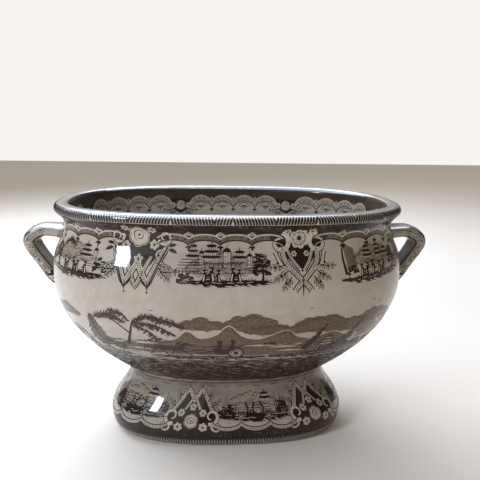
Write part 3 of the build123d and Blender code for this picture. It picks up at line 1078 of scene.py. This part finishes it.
def landscape_print(plates):
    """Two long river views, one each side of the bowl, and the streaked ground under them, whose
    lowest dark band is part print and part painted shade.
    """
    for side in range(2):
        pen = Pen(plates, side * OUTSIDE.girth / 2, 0)
        # sky
        for bank in ((-24, 91, 40, 10, 51), (14, 90, 52, 14, 52), (30, 86, 44, 9, 56),
                     (70, 87, 56, 15, 53), (104, 84, 60, 12, 57), (128, 90, 50, 11, 54),
                     (-150, 92, 40, 9, 55)):
            cloud(pen, *bank)
        for x, y in ((127, 104), (119, 107), (-62, 105), (60, 106)):
            pen.line("ink", [(x - 1.6, y + 0.6), (x, y), (x + 1.6, y + 0.8)], [0.1, 0.5, 0.1])
        # far hills and shore
        ridge(pen, [(-58, 75), (-46, 79), (-36, 87), (-27, 80), (-14, 83), (-3, 92), (8, 82),
                    (22, 79), (43, 87), (54, 80), (70, 76)], 73, 61)
        ridge(pen, [(60, 74), (84, 82), (104, 76), (128, 84), (158, 74)], 70, 62)
        for plate, points, widths in (
                ("dark", [(-80, 75.5), (-30, 74), (20, 71.5), (70, 66)], [0.4, 2.2, 2.6, 0.6]),
                ("wash", [(-130, 70), (-100, 66), (-60, 65), (-20, 68)], [4, 8, 6, 0.5]),
                ("wash", [(34, 64), (80, 60), (150, 58)], [1, 7, 6]),
                ("dark", [(-128, 69), (-108, 66.5), (-84, 67), (-62, 66)], [2.0, 3.6, 2.6, 0.3]),
                ("dark", [(50, 62), (76, 60), (104, 62), (140, 60)], [0.4, 3.4, 3.0, 1.0])):
            pen.line(plate, points, widths)
        bush(pen, -62, 75, 22, 4, 63)
        bush(pen, 34, 71, 18, 4, 64)
        water(pen, -128, 100, 60, 74, 11, 65, "soft", 0.6)
        water(pen, -128, 20, 62, 73, 7, 66)
        # near trees, left
        conifer(pen, -118, 64, 32, 26, 71)
        bush(pen, -112, 60, 30, 10, 72)
        pen.line("dark", [(-90, 70), (-84, 82), (-79, 94)], [3.0, 2.0, 1.2])
        pen.line("dark", [(-84, 82), (-94, 92), (-103, 97)], [1.6, 0.8])
        for points, size, seed in (([(-79, 94), (-68, 100), (-52, 97), (-38, 92)], 6.4, 73),
                                   ([(-80, 93), (-62, 92), (-48, 84)], 5.6, 74),
                                   ([(-80, 91), (-70, 87), (-62, 79)], 4.8, 77),
                                   ([(-86, 93), (-98, 99), (-113, 96)], 6.0, 75),
                                   ([(-82, 94), (-88, 101), (-98, 103)], 5.0, 76)):
            plume(pen, points, size, seed)
        carriage(pen.at(-4, -4, scale=1.08))
        rough_ground(pen, -74, 30, 57, 4, 81)
        # right bank: two leaning firs, leafy hills, buildings
        for x, lean in ((64, 13), (98, 15)):
            pen.line("ink", [(x, 64), (x + lean * 0.5, 77), (x + lean, 92)], [6.5, 3.6, 0.4])
            for k in range(7):
                share = k / 6
                along, up = x + lean * share * 0.9, 66 + 24 * share
                reach = 5.6 - 4 * share
                bough = [(along - reach, up - 1), (along, up + 1), (along + reach, up - 0.6)]
                pen.line("ink", bough, [0.3, 2.2, 0.3])
            bush(pen, x - 2, 64, 16, 7, 60 + x)
        pagoda(pen, 84, 68, 14, 3)
        tower(pen, 112, 68, 5, 9)
        for k, x in enumerate((60, 74, 88, 104, 122, 140)):
            bush(pen, x, 62 - 0.03 * (x - 60), 18, 8, 90 + k)
        rough_ground(pen, 34, 150, 58, 5, 82)
        rough_ground(pen, 60, 160, 47, 4, 83)
        conifer(pen, 148, 58, 34, 20, 84)
        bush(pen, 166, 62, 24, 16, 85)
        bush(pen, -148, 58, 30, 20, 86)
        conifer(pen, -168, 56, 34, 20, 87)
        rough_ground(pen, -190, -96, 56, 6, 88)
        # foreground streaks down to the waist, and a dark band there that is part print, part
        # painted shade
        water(pen, -205, 205, 9, 52, 34, 91 + side, "soft", 0.9)
        water(pen, -205, 205, 7, 50, 30, 93 + side, "ink", 0.6)
        for k, x in enumerate(range(-195, 200, 26)):
            bush(pen, x, 17 + 5 * sin(x * 0.13), 17, 7, 100 + k)
            rough_ground(pen, x - 16, x + 16, 12 + 4 * sin(x * 0.05), 3.6, 120 + k)
        for k, x in enumerate(range(-180, 190, 45)):
            rough_ground(pen, x - 24, x + 20, 36 + 6 * sin(x * 0.09), 3.0, 140 + k)
            bush(pen, x + 6, 37 + 6 * sin(x * 0.09), 14, 5, 160 + k)
        # The dark band on the belly's underside just above the waist: part print, part painted
        # shade.
        xs = np.linspace(-221, 221, 200)
        wobble = 1.2 * np.sin(xs * 0.9) + 0.8 * np.sin(xs * 2.3)
        pen.patch("dark", path(xs, 5.2), path(xs, 10.5 + wobble))


def foot_print(plates):
    """The foot's ticks, dark ground, dashed scallops, peaked cartouches and boats."""
    rise = FOOT_WARE.rise_at
    first, gap, tick = -34, 19.5, 2.4
    whole = Pen(plates)
    xs = np.linspace(0, FOOT_WARE.girth, 300)
    whole.patch("ground", path(xs, rise(1.0)), path(xs, rise(16.5)))
    for k in range(int(FOOT_WARE.girth / tick)):
        whole.line("bare", [(tick * k, rise(2.4)), (tick * k, rise(8.2))], [0.4, 0.9, 0.3])
    whole.line("ink", path(xs, rise(9.6)), 1.2, corners=True)
    pitch = FOOT_WARE.girth / FOOT_PANELS
    share, crown = arches(3, 10)
    across = gap + share * (pitch - 2 * gap)
    top = rise(25) - (rise(25) - rise(20.5)) * crown
    for k in range(FOOT_PANELS):
        start = Pen(plates, first + pitch * k, 0)
        start.patch("ground", path(across, rise(16.3)), path(across, top - 4.0))
        start.line("ink", path(across, top - 3.6), 0.8, corners=True)
        start.patch("bare", path(across, top - 3.2), path(across, top - 0.5))
        dashes = path(across, top)
        start.line("ink", dashes, 0.9, corners=True)
        for a, b in zip(dashes[:-1], dashes[1:]):
            for x, y in (a, mix(a, b, 0.5)):
                start.line("ink", [(x, y - 2.9), (x, y - 0.8)], 0.45)
        for cusp in (1 / 3, 2 / 3):
            x = gap + cusp * (pitch - 2 * gap)
            for way in (-1, 1):
                sprig(start.at(x, rise(26), flip=way), 0, 0, 55, 7, 2, 3)
            blossom(start, x, rise(28.5), 2.2, 5)
        peaked_cartouche(start.at(0, rise(33)))
        boat_view(start.at(pitch / 2, rise(26), scale=1.25), 200 + k)
    water(whole, 0, FOOT_WARE.girth, rise(53.5), rise(56.5), 3, 210, "soft", 0.6)
    whole.line("soft", path(xs, rise(57)), 0.8, corners=True)


def peaked_cartouche(pen):
    """Roses under two pointed peaks, with scrolls at both sides."""
    xs = np.array([-24, -18, -12, -6, 0, 6, 12, 18, 24.0])
    high = np.array([-2, 6, 12, 17, 13, 17, 12, 6, -2.0])
    pen.patch("dark", path(xs, -19), path(xs, high))
    strap_band(pen, [(-19, 0), (-7, 20), (0, 9), (7, 20), (19, 0)], 3.0, corners=True)
    strap_band(pen, [(-7, 2), (0, 14), (7, 2)], 2.0, corners=True)
    blossom(pen, 0, 4, 3.2, 5, 18)
    rose(pen, 0, -8, 6.4)
    for way in (-1, 1):
        p = pen.at(0, 0, flip=way)
        scroll(p, 18, -4, 6.6, tilt=-110, width=3.0, turns=1.15)
        scroll(p, 23, -13, 4.4, tilt=150, width=2.0)
        blossom(p, 10, -1, 3.2, 6)
        blossom(p, 11, -13, 3.8, 6, 20)
        for k, lean in enumerate((20, 48, 75)):
            sprig(p, 17 - 4 * k, 4 + 4 * k, lean, 9, 3, 3.4)
        p.line("ink", [(7, 20), (7, 24)], [1.2, 0.2])
        for x, y in ((20, 8), (15, 14), (24, 2)):
            p.disc("ink", x, y, 0.8)


def boat_view(pen, seed):
    """Reeds, ripples and a low boat with figures, between two cartouches of the foot."""
    cloud(pen, 0, 12, 44, 9, seed, "mist")
    rough_ground(pen, -26, 26, 3, 3.4, seed + 10)
    water(pen, -24, 26, 4, 12, 6, seed + 20, "ink", 0.5)
    pen.line("dark", [(-12, 6), (-4, 4), (6, 4), (13, 7)], [0.4, 2.6, 2.6, 0.4])
    for x, flip in ((-6, 1), (0, -1), (6, 1)):
        figure(pen, x, 5, 7.5, flip)
    for k in range(7):
        x = -24 + 1.6 * k
        pen.line("ink", [(x, 4), (x + 0.6, 13 + 5 * sin(k))], [0.8, 0.2])
    for k in range(6):
        x = 17 + 1.6 * k
        pen.line("soft", [(x, 4), (x - 0.4, 15 + 3 * sin(k * 2))], [1.1, 0.3])
    bush(pen, -20, 4, 12, 7, seed + 30)
    bush(pen, 22, 4, 10, 9, seed + 40)
    pagoda(pen, 10, 13, 9, 2, 3)


def inside_print(plates):
    """The dark band, arched frames and bouquets inside the mouth."""
    top, low = INSIDE.rise_at(211.6), INSIDE.rise_at(190)
    first, gap, frames = 116, 11, 4
    frame_rise, frame_deep = 7.4, 6
    pitch = INSIDE.girth / PANELS
    share, crown = arches(frames, 9)
    xs = np.concatenate([[-gap, 0], gap + share * (pitch - 2 * gap)])
    edge = np.concatenate([[low + frame_deep] * 2, low + frame_rise * crown + frame_deep])
    for k in range(PANELS):
        start = Pen(plates, first + pitch * k, 0)
        start.patch("soft", path(xs, edge), path(xs, top))
        start.line("ink", path(xs, top), 1.0, corners=True)
        for x in np.arange(gap, pitch - gap, 2.9):
            plate = "ink" if x % 2 < 1 else "dark"
            leaf(start, x, top - 3.4, 2.8, 70 + 60 * sin(2 * x), 0.45, plate)
        frame_band(start.at(gap, 0), pitch - 2 * gap, frames, low, frame_rise, frame_deep, "sand")
        bouquet = start.at(0, low + 2)
        bouquet.patch("dark", [(-14, 2), (-8, -4), (0, -8), (8, -4), (14, 2)],
                      [(-13, 8), (-7, 8), (0, 8), (7, 8), (13, 8)])
        rose(bouquet, 0, 1, 5.6)
        for way in (-1, 1):
            p = bouquet.at(0, 0, flip=way)
            blossom(p, 9, 1, 3.2, 6)
            scroll(p, 14, 0, 3.6, tilt=60, width=1.6)
            for j, lean in enumerate((-20, -45, -70)):
                sprig(p, 8 - 3 * j, -3 - 2 * j, lean, 10, 3, 3.6)
        for j in range(frames):
            middle = gap + (j + 0.5) * (pitch - 2 * gap) / frames
            start.ring("soft", middle, low - 1.6, 7.6, 0.8, 20, 160)
            for way in (-1, 1):
                leaf(start.at(middle, low + 2.6, flip=way), 0, 0, 5.0, -24, 0.45, "wash")
            leaf(start, middle, low + 3.2, 5.0, -90, 0.5, "wash")


def handle_print(plates):
    """Leaf and scroll lines that wrap the outer limb of one handle, and a dark lower root."""
    pen = Pen(plates)
    for way in (-1, 1):
        p = pen.at(0, 0, flip=way)
        for k in range(3):
            along = 42 + 19 * k
            leaf(p, 11, along, 13, 70, 0.34, "dark", "bare")
            p.line("bare", [(11, along + 7), (16, along + 12), (21, along + 8)], [0.4, 1.6, 0.4])
            blossom(p, 17.0, along, 3.0, 5)
            scroll(p, 16.5, along + 9, 4.0, tilt=70, width=1.6)
        p.line("ink", [(9.4, 30), (9.0, 60), (9.4, 96)], 1.1)
        p.line("ink", [(23.4, 30), (23.0, 60), (23.4, 90)], 1.2)
        p.line("soft", [(12, 16), (13, 24), (12, 34)], 0.8)
        scroll(p, 16.2, 31, 5.2, tilt=90, width=2.0)
        p.patch("dark", [(3, 86), (13, 80), (24, 82)], [(3, 98), (13, 96), (24, 90.5)])
        for k in range(2):
            leaf(p, 12, 84 + 4 * k, 7, 30, 0.4, "bare")
    for k in range(6):
        along = 42 + 10 * k
        for plate, radius in (("dark", 1.9), ("bare", 1.1), ("ink", 0.4)):
            pen.disc(plate, 0, along, radius)


# ---------------------------------------------------------------- materials

def colour(hex_value):
    """An sRGB hex colour as linear RGBA."""
    parts = [int(hex_value[k:k + 2], 16) / 255 for k in (0, 2, 4)]
    linear = [c / 12.92 if c <= 0.04045 else ((c + 0.055) / 1.055) ** 2.4 for c in parts]
    return (*linear, 1.0)


def add(tree, kind, settings=None, links=None, ramp=None):
    """One node, with its settings, the sockets that feed it and its ramp's stops."""
    made = tree.nodes.new(kind)
    for name, value in (settings or {}).items():
        if isinstance(name, int) or name in made.inputs:
            made.inputs[name].default_value = value
        else:
            setattr(made, name, value)
    for name, source in (links or {}).items():
        tree.links.new(source, made.inputs[name])
    if ramp:
        stops = made.color_ramp.elements
        while len(stops) < len(ramp):
            stops.new(0.5)
        for stop, (place, shade) in zip(stops, ramp):
            stop.position = place
            stop.color = shade
    return made


def per_mm(size):
    """Noise or cell scale that gives features of this size, in metres of object space."""
    return 1 / (size * MM)


def new_material(name):
    """A new node material, and its empty tree with object-space coordinates."""
    material = bpy.data.materials.new(name)
    material.use_nodes = True
    tree = material.node_tree
    tree.nodes.clear()
    place = add(tree, "ShaderNodeTexCoord").outputs["Object"]
    return material, tree, place


def glaze_over(tree, base, rippled_at=None):
    """A clear lead glaze, about a tenth of a millimetre thick, over a coloured body. Given the
    object's coordinates, it gets the faint ripple that a dipped glaze sets with."""
    shader = add(tree, "ShaderNodeBsdfPrincipled",
                 {"Roughness": 0.4, "IOR": 1.5, "Specular IOR Level": 0.12, "Coat Weight": 0.7,
                  "Coat Roughness": 0.03, "Coat IOR": 1.5}, {"Base Color": base})
    if rippled_at:
        ripple = add(tree, "ShaderNodeTexNoise", {"Scale": per_mm(14), "Detail": 2},
                     {"Vector": rippled_at}).outputs["Fac"]
        bump = add(tree, "ShaderNodeBump", {"Strength": 0.18, "Distance": 0.4 * MM},
                   {"Height": ripple}).outputs[0]
        for socket in ("Normal", "Coat Normal"):
            tree.links.new(bump, shader.inputs[socket])
    add(tree, "ShaderNodeOutputMaterial", links={"Surface": shader.outputs[0]})


def tint(tree, factor, a, b, kind="MIX"):
    """A blend of two colours or colour sockets by a factor socket or number."""
    blend = add(tree, "ShaderNodeMix", {"data_type": "RGBA", "blend_type": kind})
    for index, value in ((0, factor), (6, a), (7, b)):
        if isinstance(value, (int, float, tuple)):
            blend.inputs[index].default_value = value
        else:
            tree.links.new(value, blend.inputs[index])
    return blend.outputs[2]


def cream_glaze(name, low_mm, high_mm):
    """Pressed earthenware, dipped in lead glaze. The eye gets a warm grey-white that darkens
    browner towards the waist, part stain and part painted shade, with faint clouding, iron specks
    and a slightly rippled gloss."""
    s = bpy.context.scene.bowl_glaze
    _, tree, place = new_material(name)
    cloudy = add(tree, "ShaderNodeTexNoise", {"Scale": per_mm(70), "Detail": 4},
                 {"Vector": place}).outputs["Fac"]
    # The ramp darkens the glaze towards low_mm: part stain, part painted shade.
    height = add(tree, "ShaderNodeSeparateXYZ", links={"Vector": place}).outputs["Z"]
    share = add(tree, "ShaderNodeMapRange", {"From Min": low_mm * MM, "From Max": high_mm * MM},
                {"Value": height}).outputs[0]
    wander = add(tree, "ShaderNodeMath", {"operation": "MULTIPLY_ADD", 1: 0.35, 2: -0.17},
                 {0: cloudy}).outputs[0]
    stain_and_shade = add(tree, "ShaderNodeMath", {"operation": "ADD", "use_clamp": True},
                {0: share, 1: wander}).outputs[0]
    body = add(tree, "ShaderNodeValToRGB", links={"Fac": stain_and_shade},
               ramp=[(0, colour(s.stained_and_shaded)), (0.55, tuple(np.array(colour(s.cream)) * 0.72)),
                     (1, colour(s.cream))]).outputs[0]
    fine = add(tree, "ShaderNodeTexNoise", {"Scale": per_mm(9), "Detail": 5, "Roughness": 0.6},
               {"Vector": place}).outputs["Fac"]
    mottle = add(tree, "ShaderNodeValToRGB", links={"Fac": fine},
                 ramp=[(0.3, (0.9, 0.87, 0.82, 1)), (0.6, (1, 1, 1, 1))]).outputs[0]
    body = tint(tree, 1.0, body, mottle, "MULTIPLY")
    specks = add(tree, "ShaderNodeTexVoronoi", {"Scale": per_mm(6), "feature": "F1"},
                 {"Vector": place}).outputs["Distance"]
    speck = add(tree, "ShaderNodeMapRange", {"From Min": 0.05, "From Max": 0.09, "To Min": 0.5,
                                             "To Max": 0.0}, {"Value": specks}).outputs[0]
    body = tint(tree, speck, body, colour("5a4634"))
    glaze_over(tree, body, place)


def printed(name, main, other, grain_mm, share):
    """Underglaze transfer ink. The eye gets one tone broken by a grain of another, as the
    tissue left it, under the same rippled gloss as the bare glaze."""
    _, tree, place = new_material(name)
    grain = add(tree, "ShaderNodeTexNoise", {"Scale": per_mm(grain_mm), "Detail": 3,
                                             "Roughness": 0.65}, {"Vector": place}).outputs["Fac"]
    broken = add(tree, "ShaderNodeValToRGB", links={"Fac": grain},
                 ramp=[(share - 0.06, colour(main)), (share + 0.08, colour(other))]).outputs[0]
    glaze_over(tree, broken, place)


def stippled(name, ground, dot, pitch_mm):
    """A dark ground punched with rows of tiny dots. The eye gets a lively dark brown in which
    the bare clay twinkles through. The dots are drawn twice their real size so that they show."""
    _, tree, place = new_material(name)
    cells = add(tree, "ShaderNodeTexVoronoi", {"Scale": per_mm(pitch_mm), "Randomness": 0.8},
                {"Vector": place}).outputs["Distance"]
    dots = add(tree, "ShaderNodeValToRGB", links={"Fac": cells},
               ramp=[(0.2, colour(dot)), (0.3, colour(ground))]).outputs[0]
    patchy = add(tree, "ShaderNodeTexNoise", {"Scale": per_mm(11), "Detail": 3},
                 {"Vector": place}).outputs["Fac"]
    mask = add(tree, "ShaderNodeMapRange", {"From Min": 0.36, "From Max": 0.56},
               {"Value": patchy}).outputs[0]
    glaze_over(tree, tint(tree, mask, dots, colour(ground)))


def materials():
    """Every finish, made once and then found by name."""
    s = bpy.context.scene.bowl_glaze
    if "Stippled transfer ground" not in bpy.data.materials:
        # Each glaze darkens towards its first height, part stain and part painted shade: the bowl
        # towards the waist, the foot towards its top under the bowl, the strap towards its lower
        # root.
        cream_glaze("Lead glazed pressed earthenware, bowl", 58, 124)
        cream_glaze("Lead glazed pressed earthenware, foot", 70, 8)
        cream_glaze("Lead glazed earthenware strap", 112, 200)
        printed("Clay slip under glaze", "8d8175", "6b5c4c", 6, 0.5)
        stippled("Stippled transfer ground", s.ink, "7d6c55", 1.5)
        printed("Half tone transfer wash", s.half_tone, "73634f", 1.8, 0.55)
        printed("Pale transfer wash", "8b7f70", "9d9282", 1.8, 0.5)
        printed("Soft transfer line", "3f2f20", "5c4a38", 1.2, 0.6)
        printed("Full transfer ink", s.ink, "472c15", 1.4, 0.62)
        printed("Bare glaze between ink", "bdb1a1", "9c8e7d", 2.2, 0.6)
    names = {"ground": "Stippled transfer ground", "wash": "Half tone transfer wash",
             "soft": "Soft transfer line", "dark": "Full transfer ink",
             "bare": "Bare glaze between ink", "ink": "Full transfer ink",
             "mist": "Pale transfer wash", "sand": "Pale transfer wash",
             "shore": "Half tone transfer wash"}
    return {layer: bpy.data.materials[name] for layer, name in names.items()}


def skin(name, mesh, finish, slot, sharp=60):
    """Makes one closed skin of the ware in the material of this name."""
    materials()
    return finish_piece(name, *mesh, bpy.data.materials[finish], slot, sharp)


def print_pieces(region, ware, draw, slot="printed_glaze"):
    """Draws one region of the print and makes a piece of each layer that has shapes."""
    finishes = materials()
    plates = {name: Plate(ware, lift) for name, lift in LAYERS.items()}
    draw(plates)
    for name, plate in plates.items():
        if plate.spots:
            plate.piece(f"{region}_{name}", finishes[name], slot)


# ---------------------------------------------------------------- operators

class BOWL_OT_body(bpy.types.Operator):
    """Skin of the bowl: outside, rolled lip and cavity"""
    bl_idname = "serving_bowl.body"
    bl_label = "Bowl body"

    def execute(self, context):
        piece = skin("bowl_skin", bowl_mesh(), "Lead glazed pressed earthenware, bowl",
                     "printed_glaze")
        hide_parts("bowl_body")
        return {"FINISHED"}


class BOWL_OT_foot(bpy.types.Operator):
    """Skin of the hollow pedestal foot"""
    bl_idname = "serving_bowl.foot"
    bl_label = "Pedestal foot"

    def execute(self, context):
        piece = skin("foot_skin", foot_mesh(), "Lead glazed pressed earthenware, foot",
                     "printed_glaze", 50)
        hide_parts("pedestal_foot")
        return {"FINISHED"}


class BOWL_OT_slip(bpy.types.Operator):
    """Lines of slip at the waist and round the roots of both handles"""
    bl_idname = "serving_bowl.slip"
    bl_label = "Slip joints"

    def execute(self, context):
        finish = "Clay slip under glaze"
        piece = skin("waist_slip", waist_slip_mesh(), finish, "slip")
        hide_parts("waist_slip_joint")
        for hand, side in ((1, "right"), (-1, "left")):
            piece = skin(f"{side}_root_slip", root_slip_mesh(Strap(hand)), finish, "slip")
            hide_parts(f"{side}_handle_slip_joint")
        return {"FINISHED"}


class BOWL_OT_handles(bpy.types.Operator):
    """Both strap handles"""
    bl_idname = "serving_bowl.handles"
    bl_label = "Strap handles"

    def execute(self, context):
        for hand, side in ((1, "right"), (-1, "left")):
            piece = skin(f"{side}_strap", strap_mesh(Strap(hand)),
                         "Lead glazed earthenware strap", "handle_glaze")
            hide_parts(f"{side}_handle")
            print_pieces(f"{side}_strap_print", Strap(hand), handle_print, "handle_glaze")
        return {"FINISHED"}


class BOWL_OT_border(bpy.types.Operator):
    """Printed border of the bowl's shoulder"""
    bl_idname = "serving_bowl.border"
    bl_label = "Border print"

    def execute(self, context):
        print_pieces("border", OUTSIDE, border_print)
        return {"FINISHED"}


class BOWL_OT_landscape(bpy.types.Operator):
    """Printed river views round the bowl's body"""
    bl_idname = "serving_bowl.landscape"
    bl_label = "Landscape print"

    def execute(self, context):
        print_pieces("landscape", OUTSIDE, landscape_print)
        return {"FINISHED"}


class BOWL_OT_foot_print(bpy.types.Operator):
    """Printed pattern of the foot"""
    bl_idname = "serving_bowl.foot_print"
    bl_label = "Foot print"

    def execute(self, context):
        print_pieces("foot_print", FOOT_WARE, foot_print)
        return {"FINISHED"}


class BOWL_OT_inside(bpy.types.Operator):
    """Printed border inside the mouth"""
    bl_idname = "serving_bowl.inside"
    bl_label = "Inside print"

    def execute(self, context):
        print_pieces("inside", INSIDE, inside_print)
        return {"FINISHED"}


class BOWL_OT_stage(bpy.types.Operator):
    """Floor, lights and camera"""
    bl_idname = "serving_bowl.stage"
    bl_label = "Stage"

    def execute(self, context):
        settings = context.scene.bowl_stage
        make_floor()
        area_light("window", (-0.67, -0.61, 0.42), 1.1, (0.17, 0.19), settings.window_power,
                   colour("dfecff"))
        area_light("skylight", (-0.4, 0.55, 0.75), 1.4, (1.9, 0.9), 27, colour("e4eeff"))
        # The ceiling shows only as the gleam on the lip and the tops of the handles.
        area_light("ceiling", (-0.22, 0.12, 1), 1.2, (1.9, 1.6), 150, colour("cfe2ff"), False)
        overhead_light(settings.overhead)
        area_light("room_left", (-0.5, -1.0, 0.3), 1.6, (1.0, 0.8), 2.6, colour("f6f2ec"))
        area_light("room_right", (0.8, -0.6, 0.25), 1.3, (0.5, 0.7), 0.3, colour("ffd3a2"))
        make_room(settings.room)
        context.scene.view_settings.view_transform = "Standard"
        make_camera()
        return {"FINISHED"}


# ---------------------------------------------------------------- stage

def make_room(strength):
    """Pale walls all round. They look nearly white, and give a softer, dimmer light."""
    world = bpy.data.worlds.new("Pale room")
    world.use_nodes = True
    tree = world.node_tree
    tree.nodes.clear()
    seen = add(tree, "ShaderNodeBackground", {"Color": colour("f8f5f0"), "Strength": 1.0})
    lit = add(tree, "ShaderNodeBackground", {"Color": colour("f2e9dc"), "Strength": strength})
    looked_at = add(tree, "ShaderNodeLightPath").outputs["Is Camera Ray"]
    walls = add(tree, "ShaderNodeMixShader", links={0: looked_at, 1: lit.outputs[0],
                                                    2: seen.outputs[0]})
    add(tree, "ShaderNodeOutputWorld", links={"Surface": walls.outputs[0]})
    bpy.context.scene.world = world


def make_floor():
    """A wide pale floor that the bowl stands on."""
    mesh = bpy.data.meshes.new("floor")
    reach = 4.0
    around = [(-reach, -reach, 0), (reach, -reach, 0), (reach, reach, 0), (-reach, reach, 0)]
    mesh.from_pydata(around, [], [(0, 1, 2, 3)])
    material, tree, place = new_material("Matt pale paper")
    faint = add(tree, "ShaderNodeTexNoise", {"Scale": per_mm(300)},
                {"Vector": place}).outputs["Fac"]
    shade = add(tree, "ShaderNodeValToRGB", links={"Fac": faint},
                ramp=[(0, colour("f5ecdf")), (1, colour("f9f2e8"))]).outputs[0]
    shader = add(tree, "ShaderNodeBsdfPrincipled", {"Roughness": 0.9}, {"Base Color": shade})
    add(tree, "ShaderNodeOutputMaterial", links={"Surface": shader.outputs[0]})
    mesh.materials.append(material)
    floor = bpy.data.objects.new("floor", mesh)
    floor.location.z = -0.5 * MM
    bpy.context.scene.collection.objects.link(floor)


def area_light(name, direction, distance, size, power, shade, diffuse=True):
    """A soft rectangular light, a distance away in a direction, aimed at the bowl's middle.
    One that isn't diffuse is seen only as a gleam in the glaze."""
    light = bpy.data.lights.new(name, "AREA")
    light.shape = "RECTANGLE"
    light.size, light.size_y = size
    light.energy = power
    light.color = shade[:3]
    lamp = bpy.data.objects.new(name, light)
    lamp.visible_diffuse = diffuse
    middle = Vector((0, 0, TOP_Z * MM / 2))
    way = Vector(direction).normalized()
    lamp.location = middle + way * distance
    lamp.rotation_euler = way.to_track_quat("Z", "Y").to_euler()
    bpy.context.scene.collection.objects.link(lamp)


def overhead_light(strength):
    """Even light from a whole pale ceiling, so the floor has one tone out to the walls."""
    light = bpy.data.lights.new("overhead", "SUN")
    light.energy = strength
    light.angle = radians(100)
    light.color = colour("fffaf2")[:3]
    lamp = bpy.data.objects.new("overhead", light)
    lamp.location = (0, 0, 2)
    lamp.rotation_euler = Vector((-0.15, 0.2, 1)).to_track_quat("Z", "Y").to_euler()
    bpy.context.scene.collection.objects.link(lamp)


def make_camera():
    """The viewpoint: in front, a little left of the middle, looking slightly down."""
    lens = bpy.data.cameras.new("camera")
    lens.sensor_width = 36
    lens.lens = 43.25
    camera = bpy.data.objects.new("camera", lens)
    stand = Vector((-20.9, -523.6, 276.7)) * MM
    heading, dip, roll = -0.061, 0.194, 0.014
    aim = (Matrix.Rotation(heading, 4, "Z") @ Matrix.Rotation(pi / 2 - dip, 4, "X")
           @ Matrix.Rotation(roll, 4, "Z"))
    camera.matrix_world = Matrix.Translation(stand) @ aim
    bpy.context.scene.collection.objects.link(camera)
    bpy.context.scene.camera = camera


# ---------------------------------------------------------------- panel and registration

class BOWL_PT_panel(bpy.types.Panel):
    """Buttons for every piece of the serving bowl"""
    bl_label = "Serving Bowl"
    bl_space_type = "VIEW_3D"
    bl_region_type = "UI"
    bl_category = "Serving Bowl"

    def draw(self, context):
        for group in ("bowl_glaze", "bowl_print", "bowl_stage"):
            settings = getattr(context.scene, group)
            for name in settings.__annotations__:
                self.layout.prop(settings, name)
        for operator in OPERATORS:
            self.layout.operator(operator.bl_idname)


OPERATORS = (BOWL_OT_body, BOWL_OT_foot, BOWL_OT_slip, BOWL_OT_handles, BOWL_OT_border,
             BOWL_OT_landscape, BOWL_OT_foot_print, BOWL_OT_inside, BOWL_OT_stage)
GROUPS = {"bowl_glaze": GlazeSettings, "bowl_print": PrintSettings, "bowl_stage": StageSettings}


def register():
    """Registers the settings, the operators and the panel."""
    for name, group in GROUPS.items():
        bpy.utils.register_class(group)
        setattr(bpy.types.Scene, name, bpy.props.PointerProperty(type=group))
    for operator in OPERATORS:
        bpy.utils.register_class(operator)
    bpy.utils.register_class(BOWL_PT_panel)


def unregister():
    """Takes them all away again."""
    bpy.utils.unregister_class(BOWL_PT_panel)
    for operator in reversed(OPERATORS):
        bpy.utils.unregister_class(operator)
    for name, group in GROUPS.items():
        delattr(bpy.types.Scene, name)
        bpy.utils.unregister_class(group)


def corners(box):
    """A box as plain lists of numbers."""
    return [list(corner) for corner in box]


def main():
    register()
    bpy.ops.serving_bowl.body()
    bpy.ops.serving_bowl.foot()
    bpy.ops.serving_bowl.slip()
    bpy.ops.serving_bowl.handles()
    bpy.ops.serving_bowl.border()
    bpy.ops.serving_bowl.landscape()
    bpy.ops.serving_bowl.foot_print()
    bpy.ops.serving_bowl.inside()
    bpy.ops.serving_bowl.stage()
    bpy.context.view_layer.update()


if __name__ == "__main__":
    main()
